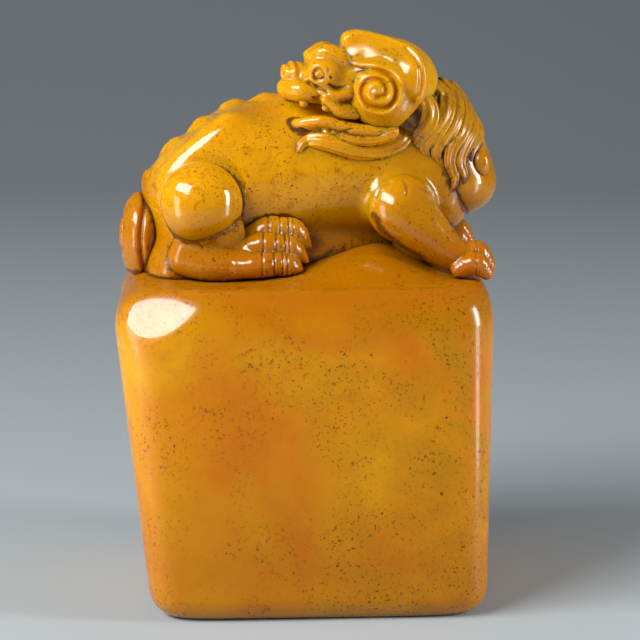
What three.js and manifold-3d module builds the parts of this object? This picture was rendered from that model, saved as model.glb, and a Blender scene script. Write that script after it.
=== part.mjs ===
// A seal stamp cut from one piece of honey-coloured stone. Below is a squared block with a flat printing
// face. Its top swells to a low mound. On it crouches a lion-like guardian beast that turns its head back.
// Nothing on it moves. Each carved form is a solid of its own, parted from its neighbours by a fine seam.
// Millimetres, +Z up. The origin is the centre of the printing face. The beast's chest points to +X.
// Its right flank faces -Y, and because the head looks back along -X, the head's left cheek faces -Y too.

import * as THREE from "three";
import { mergeVertices } from "three/addons/utils/BufferGeometryUtils.js";
import Module from "manifold-3d";

const wasm = await Module();
wasm.setup();

// Seam between two carved forms.
const seam = 0.3;

// Block: the foot is the printing end, and the shoulder is the widest line, a little below the ledge.
const footWidth = 50;
const footDepth = 46;
const footInset = 3.2;
const footRise = 4;
const shoulderWidth = 55.4;
const shoulderDepth = 48.5;
const shoulderShift = -2.1;
const ledgeInset = 3.4;
const ledgeDrop = 6.5;
const ledgeShift = -0.8;
const blockHeight = 49;
const uprightCornerRadius = 6.2;

// Mound on the ledge, under the beast's belly. Its two sides fall away at different rates.
const moundHeight = 4.8;
const moundCentreX = 8;
const moundReachRight = 8.4;
const moundReachLeft = 12;

// The beast fills the ledge from end to end. Its heights are measured from the ledge.
const ledgeLeft = ledgeShift - (shoulderWidth / 2 - ledgeInset);
const ledgeRight = ledgeShift + (shoulderWidth / 2 - ledgeInset);
const rumpSetback = 7.6;
const chestSetback = 2.1;
const forepawSetback = 1.5;

// Trunk, from rump to breast.
const rumpX = ledgeLeft + rumpSetback;
const rumpHeight = 9.2;
const rumpRoundness = 0.8;
const breastSetback = 5;
const breastX = ledgeRight - breastSetback;
const breastHeight = 13.4;
const backArch = 3.5;
const trunkHalfWidth = 10.9;
const trunkHalfHeight = 11;

// Chest and neck, which rise from the breast and lean back to the nape.
const chestLowHeight = 10.8;
const chestX = ledgeRight - chestSetback;
const chestHalfWidth = 8.6;
const chestHalfDepth = 6.2;
const neckLeanBack = 9.4;
const napeX = chestX - neckLeanBack;
const napeHeight = 26;

// Head. Its own frame starts at the middle of the skull, with x to the nose, y to the left cheek and z up.
const headAheadOfNape = 2.2;
const headX = napeX - headAheadOfNape;
const headY = -5.4;
const headHeight = 28.3;
const headYaw = 3;
const skullHalfLength = 8.3;
const skullHalfWidth = 6.6;
const skullHalfHeight = 6.8;
const muzzleLength = 14.2;
const muzzleHalfWidth = 4.8;
const muzzleHalfHeight = 3.6;
const lowerJawHalfHeight = 1.8;
const mouthGape = 2.6;
const earRadius = 5.5;
const earThickness = 2.3;
const earGroove = 0.5;
const earRollRadius = 2.3;
const eyeRadius = 1.25;
const browRadius = 1.35;
const lipRadius = 1.65;
const toothHalfLength = 1.3;
const noseHalfWidth = 2.9;

// Legs.
const haunchRadius = 6.3;
const haunchX = rumpX + 0.08 * haunchRadius;
const haunchHeight = 11.2;
const hipRadius = 8.3;
const hipThickness = 5.6;
const hipHeight = 12;
const shoulderRadius = 4.9;
const shoulderHeight = 10.8;
const shoulderX = chestX - neckLeanBack;
const legSpread = 11.6;
const shankRadius = 2.8;
const forelegRadius = 3.1;
const hindToes = 3;
const hindToeRadius = 1.8;
const hindToeLength = 6;
const foreToes = 3;
const foreToeRadius = 1.6;
const foreToeLength = 1.75 * foreToeRadius;
const forepawX = ledgeRight - forepawSetback;

// Spine knobs, mane, beard, tail and the bead on the chest.
const spineKnobs = 7;
const spineKnobRadius = 2.5;
const maneLocks = 4;
const maneLockRadius = 1.65;
const beardLocks = 2;
const beardLockRadius = 1.5;
const tailScrollRadius = 6.9;
const tailScrollThickness = 2.8;
const tailGroove = 0.7;
const tailRootRadius = 2.9;
const beadRadius = 1.7;

const RIGHT = -1;
const LEFT = 1;
const BODY_SIDES = [
  ["right", RIGHT],
  ["left", LEFT],
];
const HEAD_SIDES = [
  ["left", 1],
  ["right", -1],
];

const blockStone = new THREE.MeshStandardMaterial({ color: 0xc9800f, roughness: 0.34, metalness: 0 });
const carvedStone = new THREE.MeshStandardMaterial({ color: 0xd6940f, roughness: 0.18, metalness: 0 });
const trimStone = new THREE.MeshStandardMaterial({ color: 0xb9730c, roughness: 0.22, metalness: 0 });

const v = (x, y, z) => new THREE.Vector3(x, y, z);
const lerp = THREE.MathUtils.lerp;

/** A manifold solid from a geometry, with its shared vertices merged. */
function solidOf(geometry) {
  const bare = new THREE.BufferGeometry().setAttribute("position", geometry.getAttribute("position"));
  bare.setIndex(geometry.index);
  const merged = mergeVertices(bare, 1e-4);
  const mesh = new wasm.Mesh({
    numProp: 3,
    vertProperties: merged.getAttribute("position").array,
    triVerts: new Uint32Array(merged.index.array),
  });
  return new wasm.Manifold(mesh);
}

/** The geometry of a manifold solid, flat shaded so that its cut edges stay crisp. */
function geometryOf(solid) {
  const { vertProperties, triVerts } = solid.getMesh();
  const indexed = new THREE.BufferGeometry()
    .setAttribute("position", new THREE.BufferAttribute(vertProperties, 3))
    .setIndex(new THREE.BufferAttribute(triVerts, 1));
  const flat = indexed.toNonIndexed();
  flat.computeVertexNormals();
  return flat;
}

/** Closed skin through rings with equal numbers of points, drawn to a pole at each end. */
function skinRings(rings, firstPole, lastPole) {
  const count = rings[0].length;
  const points = [firstPole, ...rings.flat(), lastPole];
  const last = points.length - 1;
  const at = (ring, k) => 1 + ring * count + (k % count);
  const triangles = [];
  for (let k = 0; k < count; k++) {
    triangles.push(0, at(0, k + 1), at(0, k));
    triangles.push(last, at(rings.length - 1, k), at(rings.length - 1, k + 1));
    for (let ring = 0; ring + 1 < rings.length; ring++) {
      triangles.push(at(ring, k), at(ring, k + 1), at(ring + 1, k + 1));
      triangles.push(at(ring, k), at(ring + 1, k + 1), at(ring + 1, k));
    }
  }
  const geometry = new THREE.BufferGeometry().setFromPoints(points);
  geometry.setIndex(triangles);
  return geometry;
}

/** A smooth line with an oval at each station. A station is [x, y, z, half width, half height]. */
function spineThrough(stations) {
  return {
    line: new THREE.CatmullRomCurve3(stations.map(([x, y, z]) => v(x, y, z)), false, "centripetal"),
    ovals: new THREE.CatmullRomCurve3(stations.map((s) => v(s[3], s[4] ?? s[3], 0)), false, "catmullrom"),
  };
}

/** Place, axes and half sizes of a spine's oval at share t of its stations. Its width lies nearest to Y. */
function ovalAt(spine, t) {
  const centre = spine.line.getPoint(t);
  const along = spine.line.getTangent(t);
  const wide = v(0, 1, 0).addScaledVector(along, -along.y).normalize();
  const tall = along.clone().cross(wide);
  const { x: halfWide, y: halfTall } = spine.ovals.getPoint(t);
  return { centre, along, wide, tall, halfWide, halfTall };
}

/** Point on a spine's skin, lifted off it. Angle 0 is its +Y side, and 90 degrees is its tall axis. */
function skinPoint(spine, t, degrees, lift = 0) {
  const { centre, wide, tall, halfWide, halfTall } = ovalAt(spine, t);
  const angle = THREE.MathUtils.degToRad(degrees);
  return centre
    .addScaledVector(wide, Math.cos(angle) * (halfWide + lift))
    .addScaledVector(tall, Math.sin(angle) * (halfTall + lift));
}

/** A rounded form along a spine, its ends closed by half an oval, all of it larger by grow. */
function sweep(spine, { sides = 7, steps = 4, capShare = 0.8 } = {}, grow = 0) {
  const ring = (t, shrink, ahead) => {
    const { centre, along, wide, tall, halfWide, halfTall } = ovalAt(spine, t);
    centre.addScaledVector(along, ahead * (capShare * Math.min(halfWide, halfTall) + grow));
    return Array.from({ length: shrink > 0 ? sides : 1 }, (_, k) => {
      const angle = (2 * Math.PI * k) / sides;
      return centre
        .clone()
        .addScaledVector(wide, shrink * Math.cos(angle) * (halfWide + grow))
        .addScaledVector(tall, shrink * Math.sin(angle) * (halfTall + grow));
    });
  };
  const capAngles = sides > 10 ? [Math.PI / 3, Math.PI / 6] : [Math.PI / 4];
  const rings = capAngles.map((a) => ring(0, Math.cos(a), -Math.sin(a)));
  for (let i = 0; i <= steps; i++) rings.push(ring(i / steps, 1, 0));
  for (const a of [...capAngles].reverse()) rings.push(ring(1, Math.cos(a), Math.sin(a)));
  return solidOf(skinRings(rings, ring(0, 0, -1)[0], ring(1, 0, 1)[0]));
}

/** An egg with its own half sizes, tipped by degrees about Y, larger by grow. */
function egg(at, [halfX, halfY, halfZ], { tip = 0, sides = 10, rows = 6 } = {}, grow = 0) {
  const geometry = new THREE.SphereGeometry(1, sides, rows);
  geometry.scale(halfX + grow, halfY + grow, halfZ + grow);
  geometry.rotateY(THREE.MathUtils.degToRad(tip));
  geometry.translate(at.x, at.y, at.z);
  return solidOf(geometry);
}

/** One corner-rounded rectangle, as a ring of points at one height. */
function roundedRing(halfX, halfY, radius, centreX, z) {
  const cornerSteps = 4;
  const sideSteps = 5;
  const corners = [
    [1, 1],
    [-1, 1],
    [-1, -1],
    [1, -1],
  ];
  const arcPoint = (corner, angle) => {
    const [sx, sy] = corners[corner % 4];
    const x = centreX + sx * (halfX - radius) + radius * Math.cos(angle);
    return v(x, sy * (halfY - radius) + radius * Math.sin(angle), z);
  };
  const ring = [];
  for (let corner = 0; corner < 4; corner++) {
    const quarter = Math.PI / 2;
    for (let i = 0; i <= cornerSteps; i++) ring.push(arcPoint(corner, quarter * (corner + i / cornerSteps)));
    const from = arcPoint(corner, quarter * (corner + 1));
    const to = arcPoint(corner + 1, quarter * (corner + 1));
    for (let i = 1; i < sideSteps; i++) ring.push(from.clone().lerp(to, i / sideSteps));
  }
  return ring;
}

/** Height of the mound above the ledge at x, y: a bell along X, and an arch along Y that ends at the rim. */
function moundAt(x, y) {
  const reach = x > moundCentreX ? moundReachRight : moundReachLeft;
  const bell = Math.exp(-(((x - moundCentreX) / reach) ** 2));
  const arch = Math.max(0, 1 - (Math.abs(y) / (shoulderDepth / 2 - ledgeInset)) ** 3);
  return moundHeight * bell * arch;
}

/** The block, from the flat printing face to the top of the mound. */
function block(grow) {
  const shoulderRise = blockHeight - ledgeDrop;
  const ringAt = (inset, z, shift) => {
    const rise = THREE.MathUtils.clamp(z / shoulderRise, 0, 1);
    const halfX = lerp(footWidth, shoulderWidth, rise) / 2 - inset + grow;
    const halfY = lerp(footDepth, shoulderDepth, rise) / 2 - inset + grow;
    return roundedRing(halfX, halfY, uprightCornerRadius - 0.4 * inset, shift, z);
  };
  const quarterTurn = [0, 0.25, 0.5, 0.75, 1].map((share) => (Math.PI / 2) * share);
  const footRing = (a) => ringAt(footInset * (1 - Math.sin(a)), footRise * (1 - Math.cos(a)), 0);
  const rings = quarterTurn.map(footRing);
  rings.push(ringAt(0, shoulderRise / 2, shoulderShift / 2));
  for (const a of quarterTurn) {
    const turned = 1 - Math.cos(a);
    const shift = lerp(shoulderShift, ledgeShift, turned);
    rings.push(ringAt(ledgeInset * turned, shoulderRise + (ledgeDrop + grow) * Math.sin(a), shift));
  }
  const rim = rings[rings.length - 1];
  for (const share of [0.86, 0.7, 0.54, 0.38, 0.2]) {
    rings.push(
      rim.map((p) => {
        const x = lerp(moundCentreX, p.x, share);
        const y = p.y * share;
        return v(x, y, blockHeight + moundAt(x, y) + grow);
      }),
    );
  }
  const crown = v(moundCentreX, 0, blockHeight + moundAt(moundCentreX, 0) + grow);
  return solidOf(skinRings(rings, v(0, 0, 0), crown)).translate(0, 0, -blockHeight);
}

const trunk = spineThrough(
  [
    [0, 0, 0.91, 0.87],
    [0.15, 0.5, 1, 1.01],
    [0.35, 0.96, 1.02, 1.05],
    [0.58, 1, 0.96, 1],
    [0.8, 0.56, 0.9, 0.9],
    [1, 0, 0.82, 0.74],
  ].map(([along, arch, wide, tall]) => [
    lerp(rumpX, breastX, along),
    0,
    lerp(rumpHeight, breastHeight, along) + arch * backArch,
    wide * trunkHalfWidth,
    tall * trunkHalfHeight,
  ]),
);

const neck = spineThrough(
  [
    [0, 0, 0.88, 0.96],
    [0.02, 0.22, 1, 1.03],
    [0.2, 0.5, 1, 1],
    [0.55, 0.77, 0.94, 0.88],
    [1, 1, 0.82, 0.78],
  ].map(([back, up, wide, deep]) => [
    lerp(chestX, napeX, back),
    0.5 * headY * back,
    lerp(chestLowHeight, napeHeight, up),
    wide * chestHalfWidth,
    deep * chestHalfDepth,
  ]),
);

// The head's frame: a half turn from the chest's direction, and a little more or less by the yaw.
const headPlace = new THREE.Matrix4()
  .makeRotationZ(Math.PI + THREE.MathUtils.degToRad(headYaw))
  .setPosition(headX, headY, headHeight);
const inHead = (x, y, z) => v(x, y, z).applyMatrix4(headPlace);
const headEgg = (x, y, z, halves, options, grow) =>
  egg(v(x, y, z), halves, options, grow).transform(headPlace.elements);
const headSpine = (stations) =>
  spineThrough(stations.map(([x, y, z, ...halves]) => [...inHead(x, y, z).toArray(), ...halves]));

const upperJawBottom = -0.55 * skullHalfHeight + mouthGape / 2;
const upperJaw = headSpine(
  [
    [0.5 * skullHalfLength, 1.08, 1.25, 1.22],
    [0.62 * muzzleLength, 1, 1.08, 1],
    [0.94 * muzzleLength, 0.75, 0.94, 0.75],
  ].map(([x, up, wide, tall]) => [
    x,
    0,
    upperJawBottom + up * muzzleHalfHeight,
    wide * muzzleHalfWidth,
    tall * muzzleHalfHeight,
  ]),
);
const lowerJawTop = upperJawBottom - mouthGape;
const lowerJaw = headSpine(
  [
    [0.3 * skullHalfLength, 0.78, 1, 1.39],
    [0.6 * muzzleLength, 0.94, 0.98, 1],
    [0.87 * muzzleLength, 0.83, 0.8, 0.72],
  ].map(([x, down, wide, tall]) => [
    x,
    0,
    lowerJawTop - down * lowerJawHalfHeight,
    wide * muzzleHalfWidth,
    tall * lowerJawHalfHeight,
  ]),
);

const browHeight = upperJawBottom + 1.78 * muzzleHalfHeight;
const earPlace = { x: 0.05 * earRadius, y: 0.94 * skullHalfWidth, z: -0.2 * earRadius };

/** Line of the groove that winds inwards over the ear's domed disc. */
function earGrooveLine(side) {
  const turns = 1.4;
  const startAngle = 200;
  const stations = Array.from({ length: 21 }, (_, i) => {
    const share = i / 20;
    const angle = THREE.MathUtils.degToRad(startAngle - 360 * turns * share);
    const radius = earRadius * lerp(0.66, 0.12, share);
    const dome = earThickness * Math.sqrt(1 - (radius / earRadius) ** 2);
    const x = earPlace.x + radius * Math.cos(angle);
    const z = earPlace.z + radius * Math.sin(angle);
    return [x, side * (earPlace.y + dome), z, earGroove * (1 - 0.4 * share)];
  });
  return headSpine(stations);
}

function ear(side, grow) {
  const round = { sides: 16, rows: 10 };
  const halves = [earRadius, earThickness, earRadius];
  const disc = headEgg(earPlace.x, side * earPlace.y, earPlace.z, halves, round, grow);
  return grow > 0 ? disc : disc.subtract(sweep(earGrooveLine(side), { sides: 4, steps: 24 }));
}

/** The ear's outer roll: a thick band from the forehead over the top of the head and down behind the disc. */
function earRoll(side, grow) {
  const stations = [70, 100, 130, 162, 195].map((degrees, i) => {
    const angle = THREE.MathUtils.degToRad(degrees);
    const reach = skullHalfHeight - 0.4 * earRollRadius;
    const taper = 1 - 0.1 * i;
    const x = 2 * earPlace.x + 1.2 * reach * Math.cos(angle);
    const y = side * lerp(0.62, 0.86, i / 4) * skullHalfWidth;
    const z = reach * Math.sin(angle);
    return [x, y, z, 1.25 * taper * earRollRadius, taper * earRollRadius];
  });
  return sweep(headSpine(stations), { sides: 10, steps: 7, capShare: 0.5 }, grow);
}

/** Line of the groove on the tail's scroll, which faces -X. */
function tailGrooveLine(centre) {
  const turns = 1.3;
  const stations = Array.from({ length: 19 }, (_, i) => {
    const share = i / 18;
    const angle = THREE.MathUtils.degToRad(-70 + 360 * turns * share);
    const radius = tailScrollRadius * lerp(0.6, 0.1, share);
    const dome = tailScrollThickness * Math.sqrt(1 - (radius / tailScrollRadius) ** 2);
    const y = centre.y + 0.8 * radius * Math.cos(angle);
    return [centre.x - dome, y, centre.z + radius * Math.sin(angle), tailGroove];
  });
  return spineThrough(stations);
}

/** A toe: high at the knuckle, and turned down to the stone at the tip. */
function toe(root, direction, length, radius) {
  const at = (share, up) => root.clone().addScaledVector(direction, share * length).add(v(0, 0, up * radius));
  return spineThrough([
    [...at(0, 0).toArray(), 0.86 * radius],
    [...at(0.4, 0.45).toArray(), radius],
    [...at(0.8, 0.1).toArray(), 0.9 * radius],
    [...at(1, -0.35).toArray(), 0.55 * radius],
  ]);
}

/** The round plate of the hip, which the haunch sits on. It belongs to the trunk. */
function hip(side, grow) {
  const place = v(haunchX + 0.2 * haunchRadius, side * (legSpread - 1.25 * hipThickness), hipHeight);
  return egg(place, [hipRadius, hipThickness, hipRadius], { sides: 18, rows: 12 }, grow);
}

// The forms in order: each one gives way to those before it.
const forms = [];
const addForm = (name, material, shape) => forms.push({ name, material, shape });

addForm("seal_block", blockStone, block);
addForm("skull", carvedStone, (grow) =>
  headEgg(0, 0, 0, [skullHalfLength, skullHalfWidth, skullHalfHeight], { sides: 16, rows: 10 }, grow),
);
addForm("upper_jaw", carvedStone, (grow) => sweep(upperJaw, { sides: 12, steps: 4, capShare: 0.5 }, grow));
addForm("lower_jaw", carvedStone, (grow) => sweep(lowerJaw, { sides: 12, steps: 4, capShare: 0.8 }, grow));
addForm("nose", trimStone, (grow) => {
  const halves = [0.55 * noseHalfWidth, noseHalfWidth, 0.5 * noseHalfWidth];
  return headEgg(1.02 * muzzleLength, 0, upperJawBottom + 1.28 * muzzleHalfHeight, halves, {}, grow);
});

for (const [name, side] of HEAD_SIDES) {
  addForm(name + "_ear", carvedStone, (grow) => ear(side, grow));
  addForm(name + "_ear_roll", carvedStone, (grow) => earRoll(side, grow));
  addForm(name + "_eye", trimStone, (grow) => {
    const place = [0.7 * muzzleLength, side * 1.02 * muzzleHalfWidth, upperJawBottom + muzzleHalfHeight];
    const ball = headEgg(...place, [eyeRadius, eyeRadius, eyeRadius], { sides: 10, rows: 6 }, grow);
    if (grow > 0) return ball;
    const pupil = 0.4 * eyeRadius;
    const [x, y, z] = place;
    const drilled = headEgg(x, y + side * eyeRadius, z, [pupil, pupil, pupil], { sides: 6, rows: 4 }, 0);
    return ball.subtract(drilled);
  });
  addForm(name + "_brow", trimStone, (grow) => {
    const line = headSpine([
      [0.5 * muzzleLength, side * 0.9 * muzzleHalfWidth, browHeight - 0.3 * browRadius, browRadius],
      [0.62 * muzzleLength, side * 0.9 * muzzleHalfWidth, browHeight, 1.2 * browRadius],
      [0.76 * muzzleLength, side * 0.72 * muzzleHalfWidth, browHeight - 0.5 * browRadius, 0.8 * browRadius],
    ]);
    return sweep(line, {}, grow);
  });
  addForm(name + "_upper_lip", trimStone, (grow) => {
    const lipY = side * 0.86 * muzzleHalfWidth;
    const line = headSpine([
      [0.58 * muzzleLength, 1.1 * lipY, upperJawBottom + 0.4 * lipRadius, 0.5 * lipRadius],
      [0.8 * muzzleLength, 1.08 * lipY, upperJawBottom + 0.9 * lipRadius, 0.9 * lipRadius],
      [0.99 * muzzleLength, 0.74 * lipY, upperJawBottom + 1.1 * lipRadius, lipRadius],
    ]);
    return sweep(line, {}, grow);
  });
  addForm(name + "_teeth", trimStone, (grow) => {
    const halves = [toothHalfLength, 0.6 * toothHalfLength, 0.42 * mouthGape];
    const toothHeight = upperJawBottom - 0.4 * mouthGape;
    return headEgg(0.6 * muzzleLength, side * 0.82 * muzzleHalfWidth, toothHeight, halves, {}, grow);
  });
}

addForm("neck_and_chest", carvedStone, (grow) => sweep(neck, { sides: 16, steps: 8, capShare: 0.55 }, grow));
addForm("trunk", carvedStone, (grow) => {
  const barrel = sweep(trunk, { sides: 18, steps: 10, capShare: rumpRoundness }, grow);
  return BODY_SIDES.reduce((body, [, side]) => body.add(hip(side, grow)), barrel);
});

for (const [name, side] of BODY_SIDES) {
  addForm(name + "_haunch", carvedStone, (grow) => {
    const halves = [haunchRadius, 0.82 * haunchRadius, haunchRadius];
    return egg(v(haunchX, side * legSpread, haunchHeight), halves, { sides: 16, rows: 10 }, grow);
  });
  addForm(name + "_shoulder", carvedStone, (grow) => {
    const halves = [shoulderRadius, 0.8 * shoulderRadius, shoulderRadius];
    return egg(v(shoulderX, side * 0.88 * legSpread, shoulderHeight), halves, { sides: 14, rows: 8 }, grow);
  });

  const hindPawX = haunchX + haunchRadius + shankRadius;
  const hindY = side * (legSpread + 0.6 * shankRadius);
  const shank = spineThrough([
    [haunchX - 0.6 * haunchRadius, side * legSpread, shankRadius, shankRadius],
    [haunchX + 0.2 * haunchRadius, hindY, 0.85 * shankRadius, 1.1 * shankRadius],
    [hindPawX, hindY, 0.92 * shankRadius, 0.95 * shankRadius],
  ]);
  addForm(name + "_hind_shank", carvedStone, (grow) => sweep(shank, { sides: 10, steps: 5 }, grow));
  for (let i = 0; i < hindToes; i++) {
    const share = hindToes > 1 ? i / (hindToes - 1) : 0;
    const y = hindY - side * hindToeRadius * lerp(-0.67, 1.9, share);
    const climb = moundAt(hindPawX + hindToeLength, y) - hindToeRadius;
    const root = v(hindPawX - 0.2 * hindToeRadius, y, hindToeRadius * lerp(1, 3.6, share));
    const direction = v(hindToeLength, 0, Math.max(0, climb) * (1 - share) - 0.2 * hindToeRadius).normalize();
    const line = toe(root, direction, hindToeLength, hindToeRadius);
    addForm(`${name}_hind_toe_${i + 1}`, carvedStone, (grow) => sweep(line, {}, grow));
  }

  const foreY = side * (legSpread + 0.2 * forelegRadius);
  const elbowX = shoulderX + 0.5 * shoulderRadius;
  const elbowFloor = moundAt(elbowX + forelegRadius, foreY);
  const foreleg = spineThrough([
    [shoulderX + 0.3 * shoulderRadius, foreY, shoulderHeight - 0.55 * shoulderRadius, 1.25 * forelegRadius],
    [elbowX + 0.75 * forelegRadius, foreY, elbowFloor + 0.95 * forelegRadius, 1.05 * forelegRadius],
    [forepawX, foreY, moundAt(forepawX, foreY) + 0.7 * forelegRadius, 0.68 * forelegRadius],
  ]);
  addForm(name + "_foreleg", carvedStone, (grow) => sweep(foreleg, { sides: 10, steps: 6 }, grow));
  for (let i = 0; i < foreToes; i++) {
    const share = foreToes > 1 ? i / (foreToes - 1) : 0.5;
    const spread = lerp(-1, 1, share);
    const root = v(
      forepawX + 0.75 * foreToeRadius,
      foreY + 1.5 * spread * foreToeRadius,
      foreToeRadius * (1.35 - 0.35 * Math.abs(spread)),
    );
    const line = toe(root, v(1, 0.12 * spread, -0.12).normalize(), foreToeLength, foreToeRadius);
    addForm(`${name}_fore_toe_${i + 1}`, carvedStone, (grow) => sweep(line, {}, grow));
  }
}

const rumpEnd = rumpX - 0.84 * rumpRoundness * trunkHalfHeight;
const scrollPlace = v(rumpEnd - 0.45 * tailScrollThickness, 0, 0.64 * tailScrollRadius);
addForm("tail_scroll", carvedStone, (grow) => {
  const halves = [tailScrollThickness, 0.86 * tailScrollRadius, tailScrollRadius];
  const disc = egg(scrollPlace, halves, { sides: 16, rows: 10 }, grow);
  return grow > 0 ? disc : disc.subtract(sweep(tailGrooveLine(scrollPlace), { sides: 4, steps: 20 }));
});
addForm("tail_root", carvedStone, (grow) => {
  const line = spineThrough([
    [scrollPlace.x + 2.2 * tailScrollThickness, 0, tailRootRadius, tailRootRadius],
    [scrollPlace.x + 1.2 * tailScrollThickness, 0, 0.45 * tailRootRadius, tailRootRadius],
    [scrollPlace.x, 0, scrollPlace.z - 0.72 * tailScrollRadius, 0.72 * tailRootRadius],
  ]);
  return sweep(line, {}, grow);
});

for (let i = 0; i < spineKnobs; i++) {
  const share = lerp(-0.07, 0.5, i / (spineKnobs - 1));
  const { along, tall, halfTall } = ovalAt(trunk, Math.max(0, share));
  const roundTheRump = Math.min(1, Math.max(0, -share * 9));
  const place = skinPoint(trunk, Math.max(0, share), 90, 0.1 * spineKnobRadius)
    .addScaledVector(along, -rumpRoundness * halfTall * Math.sin(roundTheRump))
    .addScaledVector(tall, -halfTall * (1 - Math.cos(roundTheRump)));
  const tip = -THREE.MathUtils.radToDeg(Math.atan2(along.z, along.x) + roundTheRump);
  const halves = [1.1 * spineKnobRadius, 0.95 * spineKnobRadius, spineKnobRadius];
  addForm(`spine_knob_${i + 1}`, trimStone, (grow) => egg(place, halves, { tip, sides: 10 }, grow));
}

for (const [name, side] of BODY_SIDES) {
  for (let i = 0; i < maneLocks; i++) {
    const share = i / (maneLocks - 1);
    const fromFront = lerp(92, 20, share);
    const stations = Array.from({ length: 6 }, (_, k) => {
      const down = k / 5;
      const wave = 8 * Math.sin(2 * Math.PI * (down + 0.15 * i));
      const angle = -90 + side * (fromFront + wave);
      const radius = maneLockRadius * Math.sin(Math.PI * lerp(0.3, 0.9, down));
      const t = lerp(1, lerp(0.14, 0.36, share), down);
      return [...skinPoint(neck, t, angle, -0.15 * maneLockRadius).toArray(), radius];
    });
    const line = spineThrough(stations);
    addForm(`${name}_mane_lock_${i + 1}`, trimStone, (grow) => sweep(line, { sides: 6, steps: 8 }, grow));
  }
}

for (let i = 0; i < beardLocks; i++) {
  const inner = i / beardLocks;
  const stations = Array.from({ length: 6 }, (_, k) => {
    const ahead = k / 5;
    const sag = Math.sin(Math.PI * lerp(0.12, 1, ahead));
    const x = lerp(-0.45 * skullHalfLength, lerp(0.9, 0.6, inner) * muzzleLength, ahead);
    const drop = 0.4 + 2 * (1 - inner) * (sag + 0.35 * ahead) + 2.2 * inner;
    const z = lowerJawTop - drop * beardLockRadius;
    const radius = beardLockRadius * (1 - 0.35 * inner) * Math.sin(Math.PI * lerp(0.28, 0.88, ahead));
    return [x, (lerp(0.72, 0.62, ahead) + 0.1 * inner) * skullHalfWidth, z, radius];
  });
  const line = headSpine(stations);
  addForm(`beard_lock_${i + 1}`, trimStone, (grow) => sweep(line, { sides: 7, steps: 7 }, grow));
}

addForm("chest_bead", trimStone, (grow) => {
  const place = skinPoint(neck, 0.36, 210, 0.2 * beadRadius);
  return egg(place, [0.8 * beadRadius, beadRadius, 1.25 * beadRadius], { tip: -10 }, grow);
});

const group = new THREE.Group();
group.name = "seal_stamp";
group.position.z = blockHeight;

const cutters = [];
for (const { name, material, shape } of forms) {
  let solid = shape(0);
  for (const cutter of cutters) solid = solid.subtract(cutter);
  const [largest] = solid.decompose().sort((a, b) => b.volume() - a.volume());
  const mesh = new THREE.Mesh(geometryOf(largest), material);
  mesh.name = name;
  group.add(mesh);
  cutters.push(shape(seam));
}

export default group;
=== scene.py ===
# %% [markdown]
# # A carved stone seal
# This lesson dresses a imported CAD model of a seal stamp: a squared block of honey-coloured stone with a crouching
# guardian beast on top. The CAD parts fix every place and size, and each one is covered by a smoother, finer skin.
# Everything is worked out in millimetres, in the CAD frame, and turned into metres when a mesh is made.

import math
from functools import partial

import bpy
import numpy as np
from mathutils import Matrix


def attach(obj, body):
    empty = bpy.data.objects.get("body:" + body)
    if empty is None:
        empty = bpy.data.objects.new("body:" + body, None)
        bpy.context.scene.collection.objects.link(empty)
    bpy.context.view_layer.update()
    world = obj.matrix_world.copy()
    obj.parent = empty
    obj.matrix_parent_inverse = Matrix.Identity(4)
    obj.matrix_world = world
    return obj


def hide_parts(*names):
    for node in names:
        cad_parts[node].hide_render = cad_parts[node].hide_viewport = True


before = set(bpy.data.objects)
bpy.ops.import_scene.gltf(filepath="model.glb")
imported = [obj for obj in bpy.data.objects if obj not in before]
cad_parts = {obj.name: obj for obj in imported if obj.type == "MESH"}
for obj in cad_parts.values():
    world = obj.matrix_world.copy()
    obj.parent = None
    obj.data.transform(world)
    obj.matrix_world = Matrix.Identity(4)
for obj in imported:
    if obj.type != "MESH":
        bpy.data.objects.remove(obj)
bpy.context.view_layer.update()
MM = 0.001
LEDGE = 49.0

# %% [markdown]
# ## Camera
# The picture is taken almost square on, from a little above, with a long lens. A long lens keeps the upright edges of
# the block nearly parallel. The distance and the lens were fitted to the outline of the block, and a small shift
# puts the seal where the frame wants it.

# %% Camera
FOCUS = np.array([0, 0, 42]) * MM
DISTANCE = 0.34
AZIMUTH = math.radians(-3)
ELEVATION = math.radians(10)

camera = bpy.data.objects.new("camera", bpy.data.cameras.new("camera"))
bpy.context.scene.collection.objects.link(camera)
flat = DISTANCE * math.cos(ELEVATION)
step_back = np.array([math.sin(AZIMUTH) * flat, -math.cos(AZIMUTH) * flat, DISTANCE * math.sin(ELEVATION)])
camera.location = FOCUS + step_back
camera.rotation_euler = (math.pi / 2 - ELEVATION, 0, AZIMUTH)
camera.data.lens = 125.4
camera.data.sensor_width = 36.0
camera.data.shift_x, camera.data.shift_y = 0.0094, -0.0125
camera.data.clip_start = 0.01
bpy.context.scene.camera = camera
print("camera at", tuple(round(c, 4) for c in camera.location))

# %% [markdown]
# ## Grids that become meshes
# Every skin in this lesson is a grid of points. Its columns run once round the form and its rows run from one end to
# the other, where they close on a pole. A grid can be built, moved and carved as one numpy array, and only then is it
# handed to Blender, so that no step has to touch single vertices.


# %% From a grid to a closed mesh
def with_poles(grid):
    """A grid's values in one list, with the mean of its first row and of its last row at the end."""
    return np.concatenate([grid.reshape(-1, *grid.shape[2:]), grid[[0, -1]].mean(1)])


def smooth_mesh(name, verts, faces):
    """A mesh with smooth shading, linked to the scene as an object."""
    mesh = bpy.data.meshes.new(name)
    mesh.from_pydata(verts.tolist(), [], faces)
    mesh.polygons.foreach_set("use_smooth", np.ones(len(faces), dtype=bool))
    piece = bpy.data.objects.new(name, mesh)
    bpy.context.scene.collection.objects.link(piece)
    return piece


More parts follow.
